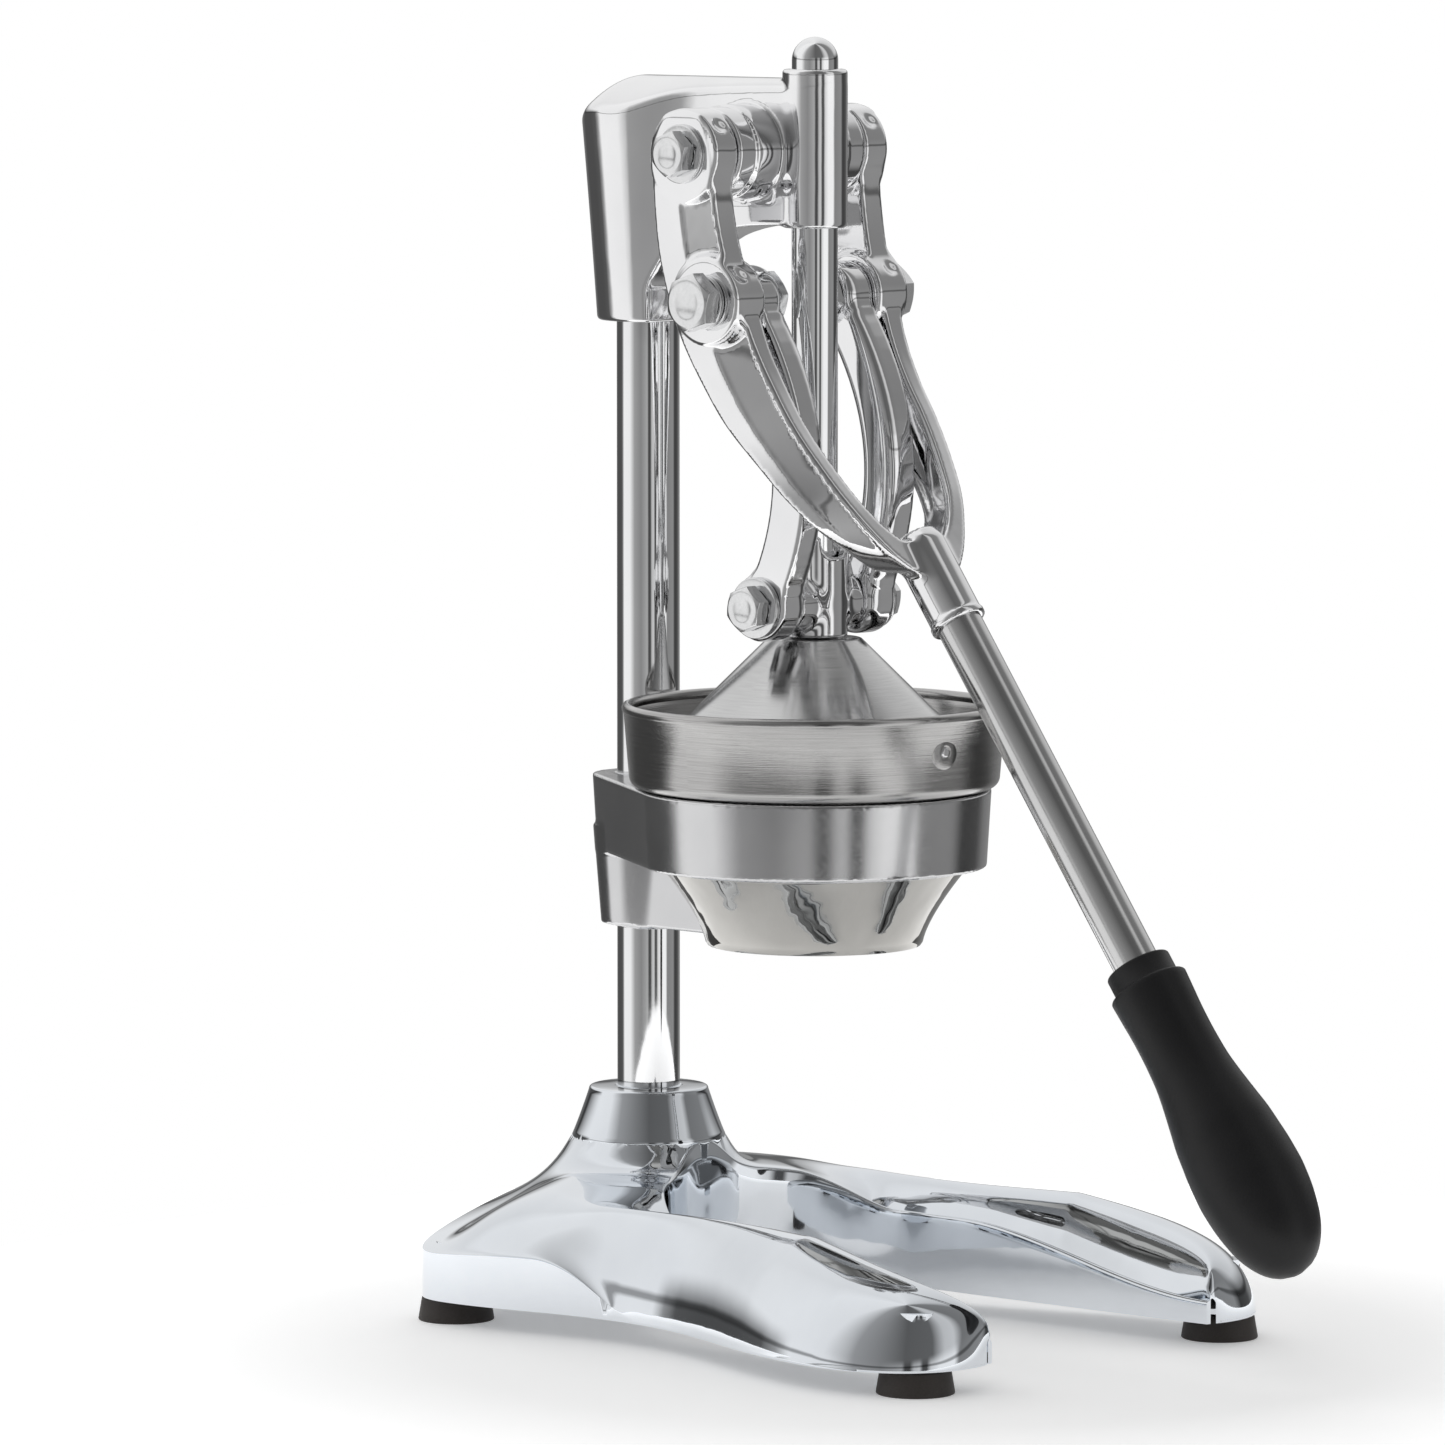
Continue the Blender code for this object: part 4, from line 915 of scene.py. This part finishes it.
def yoke_tables():
    """Rear Y, rear X, front Y, front X and thickness of an arm, each as a function of the height."""
    rows = [
        (394.0, 26.0, 41.0, 13.0, 41.0, 10.6), (378.0, 32.6, 41.0, 8.0, 41.0, 10.6),
        (362.0, 32.4, 41.0, 6.6, 41.0, 10.6), (343.0, 29.6, 41.0, 2.4, 40.0, 10.4),
        (331.0, 25.8, 41.0, -2.4, 39.0, 9.6), (318.5, 20.6, 40.6, -7.0, 37.6, 8.8),
        (305.0, 12.6, 39.8, -14.2, 36.4, 8.4), (292.7, 4.0, 38.6, -22.4, 35.6, 8.0),
        (280.0, -8.5, 37.0, -31.5, 32.6, 8.0), (268.8, -19.8, 34.8, -39.4, 28.4, 8.4),
        (260.0, -28.4, 30.0, -45.0, 23.0, 10.0), (253.0, -34.6, 23.0, -49.5, 16.6, 14.0),
        (247.0, -39.0, 15.0, -53.5, 10.0, 18.0),
    ]
    heights, *columns = zip(*rows)
    return [curve_through(heights, column) for column in columns]


def build_yoke():
    rear_y, rear_x, front_y, front_x, thick = yoke_tables()
    run = (Vector(HANDLE_END) - Vector(HANDLE_START)).normalized()
    lever_hub, knee_hub, outer_face = 14.4, 13.6, 41.0
    spot_angle = math.radians(50.0)

    def field(x, y, z):
        mirror = np.abs(x)
        rear, front = rear_y(z), front_y(z)
        width = rear - front
        s = (y - front) / width
        outer = front_x(z) + (rear_x(z) - front_x(z)) * np.clip(s, -0.3, 1.3)
        lean = 1 - 0.28 * ease(-z, -335, -300)
        from_front, from_rear = (y - front) * lean, (rear - y) * lean
        by_lever, by_knee = beside(LEVER_PIVOT, y, z), beside(KNEE_PIVOT, y, z)
        to_lever, to_knee = radial(*by_lever), radial(*by_knee)
        clear = ease(to_lever, 14.6, 17.0) * ease(to_knee, 14.0, 16.4)
        clear = clear * ease(z, 252.0, 262.0) * ease(-z, -391, -388)
        share = np.clip((from_front - 2.0) / (0.5 * width * lean), 0, 1)
        facet = (3.4 * (1 - share) + 0.25) * ease(from_front, 1.6, 2.6) * (1 - ease(share, 0.9, 1.0))
        facet = facet + 1.0 * (1 - ease(from_front, 1.2, 2.4))
        hollow = 2.2 * ease(from_front, 1.8, 3.6) * ease(from_rear, 1.8, 3.6)
        hollow = hollow * ease(z, 259.0, 266.0) * (1 - ease(z, 306.0, 314.0))
        shell = soft_max(mirror - (outer - facet * clear), (outer - thick(z) + hollow) - mirror, 1.2)
        sides = soft_max(-from_front, -from_rear, 1.0)
        arm = soft_max(shell, sides, 1.5)
        arm = soft_max(arm, np.maximum(z - 391.0, 247.0 - z), 2.0)
        upper = rod_field(*by_lever, 30.4, outer_face, mirror, lever_hub, 1.3)
        lower = rod_field(*by_knee, 27.1, outer_face, mirror, knee_hub, 1.3)
        body = soft_min(arm, soft_min(upper, lower, 1.5), 1.5)
        hy, hz = beside(HANDLE_START[1:], y, z)
        along = hy * run.y + hz * run.z
        across = hy * run.z - hz * run.y
        swell = 8.6 + 0.5 * ease(along, 27.2, 28.0) - 1.6 * ease(-along, -2.0, 4.0)
        socket = soft_max(radial(x, across) - swell, np.abs(along - 13.5) - 16.5, 0.8)
        body = soft_min(body, socket, 3.0)
        for pivot, hub in ((LEVER_PIVOT, lever_hub), (KNEE_PIVOT, knee_hub)):
            away = hub + 3.4
            cy, cz = pivot[0] - away * math.sin(spot_angle), pivot[1] + away * math.cos(spot_angle)
            spot = np.sqrt(((mirror - 35.7) / 0.95) ** 2 + (y - cy) ** 2 + (z - cz) ** 2 + 1e-9) - 4.6
            body = soft_max(body, -spot, 0.5)
        body = soft_max(body, PIVOT_BORE - to_lever, 0.4)
        return soft_max(body, KNEE_BORE - to_knee, 0.4)

    points, faces = field_mesh(field, (-42.5, -72, 225), (42.5, 36, 394.5), 0.85)
    add_piece("yoke_body", points, faces, "lever", ["lever_yoke"], POLISHED)


def link_outline():
    """The outline of a link in the Y-Z plane: a bowed bar between its two pivots."""
    low, high = np.array(CROSS_PIVOT), np.array(KNEE_PIVOT)
    steps, bow, half_width = 24, 17.0, 7.2

    def centre(t):
        return low + (high - low) * t + np.array((-4 * t * (1 - t) * bow, 0.0))

    def edge(side):
        points = []
        for i in range(2, steps - 1):
            t = i / steps
            way = centre(t + 0.01) - centre(t - 0.01)
            way = way / np.linalg.norm(way)
            points.append(tuple(centre(t) + side * half_width * np.array((-way[1], way[0]))))
        return points

    return [CROSS_PIVOT] + edge(1) + [KNEE_PIVOT] + edge(-1)[::-1]


def build_links():
    outline = link_outline()
    inner, outer = 15.5, 26.8
    for side, label in ((-1, "left"), (1, "right")):
        def field(x, y, z):
            across = x * side
            to_cross, to_knee = radial(*beside(CROSS_PIVOT, y, z)), radial(*beside(KNEE_PIVOT, y, z))
            flat = soft_min(outline_field(outline, y, z), to_cross - 10.9, 4.0)
            flat = soft_min(flat, to_knee - 11.0, 4.0)
            body = soft_max(flat, across - outer, 1.6)
            body = soft_max(body, inner - across, 4.5)
            body = soft_max(body, KNEE_BORE - to_knee, 0.4)
            return soft_max(body, PIVOT_BORE - to_cross, 0.4)

        edges = sorted(((inner - 1) * side, (outer + 1) * side))
        points, faces = field_mesh(field, (edges[0], -26, 221), (edges[1], 23, 345), 0.75)
        add_piece(f"link_bar_{label}", points, faces, "links", [f"link_{label}"],
                  POLISHED)


def build_crosshead():
    low = 223.6

    def field(x, y, z):
        mirror = np.abs(x)
        barrel = rod_field(x, y, low, 256.4, z, 10.6, 1.2)
        scoop = soft_max(mirror - 5.9, 249.5 - z, 5.5)
        scoop = soft_max(scoop, 5.2 - np.abs(y), 1.2)
        barrel = soft_max(barrel, -scoop, 1.0)
        gusset = soft_max(mirror - (8.9 + (257.0 - z) * 0.33), np.abs(y) - 5.6, 2.0)
        gusset = soft_max(gusset, np.maximum(z - 256.8, 228.5 - z), 1.5)
        gusset = soft_max(gusset, mirror - 14.2, 1.5)
        boss = rod_field(*beside(CROSS_PIVOT, y, z), -14.5, 14.5, x, 8.5, 1.0)
        body = soft_min(soft_min(barrel, gusset, 2.0), boss, 2.4)
        body = soft_max(body, ROD_BORE - radial(x, y), 0.4)
        return soft_max(body, low - z, 0.5)

    points, faces = field_mesh(field, (-15.5, -12.5, 222), (15.5, 12.5, 258.5), 0.6)
    add_piece("crosshead_body", points, faces, "press", ["crosshead"], POLISHED)


def build_holder():
    bowl = bowl_curve(20)
    room = curve_through([z for _, z in bowl], [r for r, _ in bowl])

    def wrapped(x, y, big, small, distance):
        """Distance to an outline wrapped round two circles, the small one further along Y."""
        b = (big - small) / distance
        a = math.sqrt(1 - b * b)
        ax = np.abs(x)
        k = a * y - b * ax
        side = a * ax + b * y - big
        far = np.where(k > a * distance, radial(x, y - distance) - small, side)
        return np.where(k < 0, radial(x, y) - big, far)

    def field(x, y, z):
        to_post = radial(x, y - POST_Y)
        spread = (z - 174.9) * 0.06
        body = soft_max(wrapped(x, y, 56.8, 18.2, POST_Y) - spread, np.abs(z - 162.45) - 12.45, 0.9)
        clamp = soft_max(to_post - (15.4 + (z - 126.0) * 0.08), np.abs(z - 142.0) - 16.0, 0.8)
        gusset = soft_max(np.abs(x) - 12.5, np.maximum(y - POST_Y, 20.0 - y), 1.0)
        gusset = soft_max(gusset, np.abs(z - 141.0) - 15.0, 1.0)
        body = soft_min(body, soft_min(clamp, gusset, 3.0), 1.6)
        inside = np.where(z < BOWL_RIM, room(z) + 0.8, 50.4)
        body = soft_max(body, inside - radial(x, y), 0.5)
        return soft_max(body, POST_BORE - to_post, 0.4)

    points, faces = field_mesh(field, (-59, -59, 124), (59, 93.5, 177), 0.95)
    add_piece("holder_body", points, faces, "frame", ["cup_holder"], SATIN)


# -------- stage, light and camera

def soft_light(name, place, target, size, power):
    lamp = bpy.data.lights.new(name, "AREA")
    lamp.shape = "RECTANGLE"
    lamp.size, lamp.size_y = size
    lamp.energy = power
    holder = bpy.data.objects.new(name, lamp)
    holder.location = place
    holder.rotation_euler = (Vector(target) - Vector(place)).to_track_quat("-Z", "Y").to_euler()
    holder.visible_glossy = False
    bpy.context.scene.collection.objects.link(holder)


# Brightness round the object, as (azimuth from -Y towards +X, level): soft boxes and dark cards.
HORIZON = [
    (-170, 0.08), (-159, 0.10), (-153, 0.35), (-148, 0.95), (-118, 0.92), (-99, 0.36), (-74, 0.26),
    (-58, 0.36), (-50, 0.42), (-46, 0.07), (-39, 0.07), (-34, 0.52), (-27, 0.64), (-23, 0.08), (-17, 0.08),
    (-12, 0.70), (0, 0.98), (20, 0.98), (26, 0.24), (56, 0.28), (66, 0.05), (88, 0.08), (100, 0.22),
    (130, 0.30), (150, 0.16), (165, 0.08),
]
OVERHEAD = [
    (-176, 0.85), (-155, 0.95), (-122, 0.90), (-100, 0.36), (-70, 0.22), (-46, 0.12), (-10, 0.14), (6, 0.60),
    (18, 0.65), (28, 0.20), (60, 0.24), (76, 0.62), (100, 0.74), (140, 0.9),
]


def band_stops(levels_round):
    """The levels as stops of a colour band that starts and ends at azimuth -90."""
    places = np.array([a for a, _ in levels_round], float)
    levels = np.array([v for _, v in levels_round], float)
    order = np.argsort((places + 90) % 360)
    shares, levels = ((places + 90) % 360 / 360)[order], levels[order]
    gap = shares[0] + 1 - shares[-1]
    seam = levels[-1] + (levels[0] - levels[-1]) * (1 - shares[-1]) / gap
    return [(0.0, seam)] + list(zip(shares.tolist(), levels.tolist())) + [(1.0, seam)]


def banded(n, around, levels):
    """The levels as a colour that depends on the azimuth of a direction."""
    turn = n.maths("ARCTAN2", around[1], around[0])
    return n.greys(n.ramp(turn, -math.pi, math.pi, 0, 1), band_stops(levels))


def build_world():
    """Plain white to the camera; to every other ray, the bands with a dark bar low round the studio."""
    world = bpy.data.worlds.new("studio")
    bpy.context.scene.world = world
    n = Nodes(world)
    n.tree.nodes.clear()
    around = n.split(n.add("ShaderNodeTexCoord").outputs["Generated"])
    low, high = banded(n, around, HORIZON), banded(n, around, OVERHEAD)
    studio = n.mixed("MIX", n.ramp(around[2], 0.04, 0.3, 0, 1, "SMOOTHSTEP"), low, high)
    bar = n.greys(around[2], ((0.0, 1.0), (0.04, 1.0), (0.065, 0.4), (0.09, 0.4), (0.12, 1.0), (1.0, 1.0)))
    lit = n.add("ShaderNodeBackground")
    n.link(n.mixed("MULTIPLY", 1.0, studio, bar), lit.inputs["Color"])
    plain = n.add("ShaderNodeBackground", Color=(1, 1, 1, 1))
    choose = n.add("ShaderNodeMixShader")
    sources = (n.add("ShaderNodeLightPath").outputs["Is Camera Ray"], lit.outputs[0], plain.outputs[0])
    for slot, source in enumerate(sources):
        n.link(source, choose.inputs[slot])
    n.link(choose.outputs[0], n.add("ShaderNodeOutputWorld").inputs["Surface"])


def build_stage():
    """A round sheet of pale paper that grows brighter to its rim, where it meets the white surround."""
    count, radius = 96, 0.37
    angles = [2 * math.pi * i / count for i in range(count)]
    floor = bpy.data.meshes.new("floor")
    floor.from_pydata([(radius * math.cos(a), radius * math.sin(a), 0) for a in angles], [], [range(count)])
    n = new_material("floor_paper")
    reach = n.add("ShaderNodeVectorMath", operation="LENGTH")
    n.link(n.object_place(), reach.inputs[0])
    n.link(n.ramp(reach.outputs["Value"], 0.16, 0.35, 0.24, 0.62), n.surface.inputs["Emission Strength"])
    n.tint(n.noise(n.object_place(), 160.0, 4.0), (0.93, 0.93, 0.93), (0.96, 0.96, 0.96))
    n.set(Roughness=0.7, Emission_Color=(1, 1, 1, 1), Specular_IOR_Level=0.1)
    floor.materials.append(n.owner)
    sheet = bpy.data.objects.new("floor", floor)
    bpy.context.scene.collection.objects.link(sheet)
    soft_light("key", (-1.6, -0.9, 2.0), (0, 0, 0.2), (1.4, 1.4), 9)
    soft_light("fill", (1.6, -1.6, 1.2), (0, 0, 0.2), (0.8, 1.6), 4)
    soft_light("rim", (0.6, 1.9, 1.5), (0, 0, 0.25), (1.4, 0.6), 4)


def build_camera():
    camera = bpy.data.cameras.new("camera")
    camera.lens = 235.6
    camera.sensor_width = 36
    camera.clip_start, camera.clip_end = 0.05, 50
    holder = bpy.data.objects.new("camera", camera)
    place, target = Vector((-2.2411, -1.9730, 0.4816)), Vector((-0.0215, 0.0652, 0.1961))
    holder.location = place
    holder.rotation_euler = (target - place).to_track_quat("-Z", "Y").to_euler()
    bpy.context.scene.collection.objects.link(holder)
    bpy.context.scene.camera = holder


def finish_cad():
    """Gives the CAD nodes that stay a detailed zinc plate."""
    names = ["press_washer", "press_screw", "post_washer", "post_bolt", "head_set_screw", "holder_set_screw"]
    names += [f"foot_screw_{end}_{side}" for end in ("front", "rear") for side in ("left", "right")]
    for name in names:
        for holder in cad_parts[name].material_slots:
            holder.material = ZINC


for build in (build_world, build_stage, build_camera, build_base, build_feet, build_post, build_rod,
              build_cone, build_funnel, build_strainer, build_cup_boss, build_holder, build_head, build_yoke,
              build_links, build_crosshead, build_handle, build_fasteners, finish_cad):
    build()
bpy.context.scene.view_settings.view_transform = "Standard"
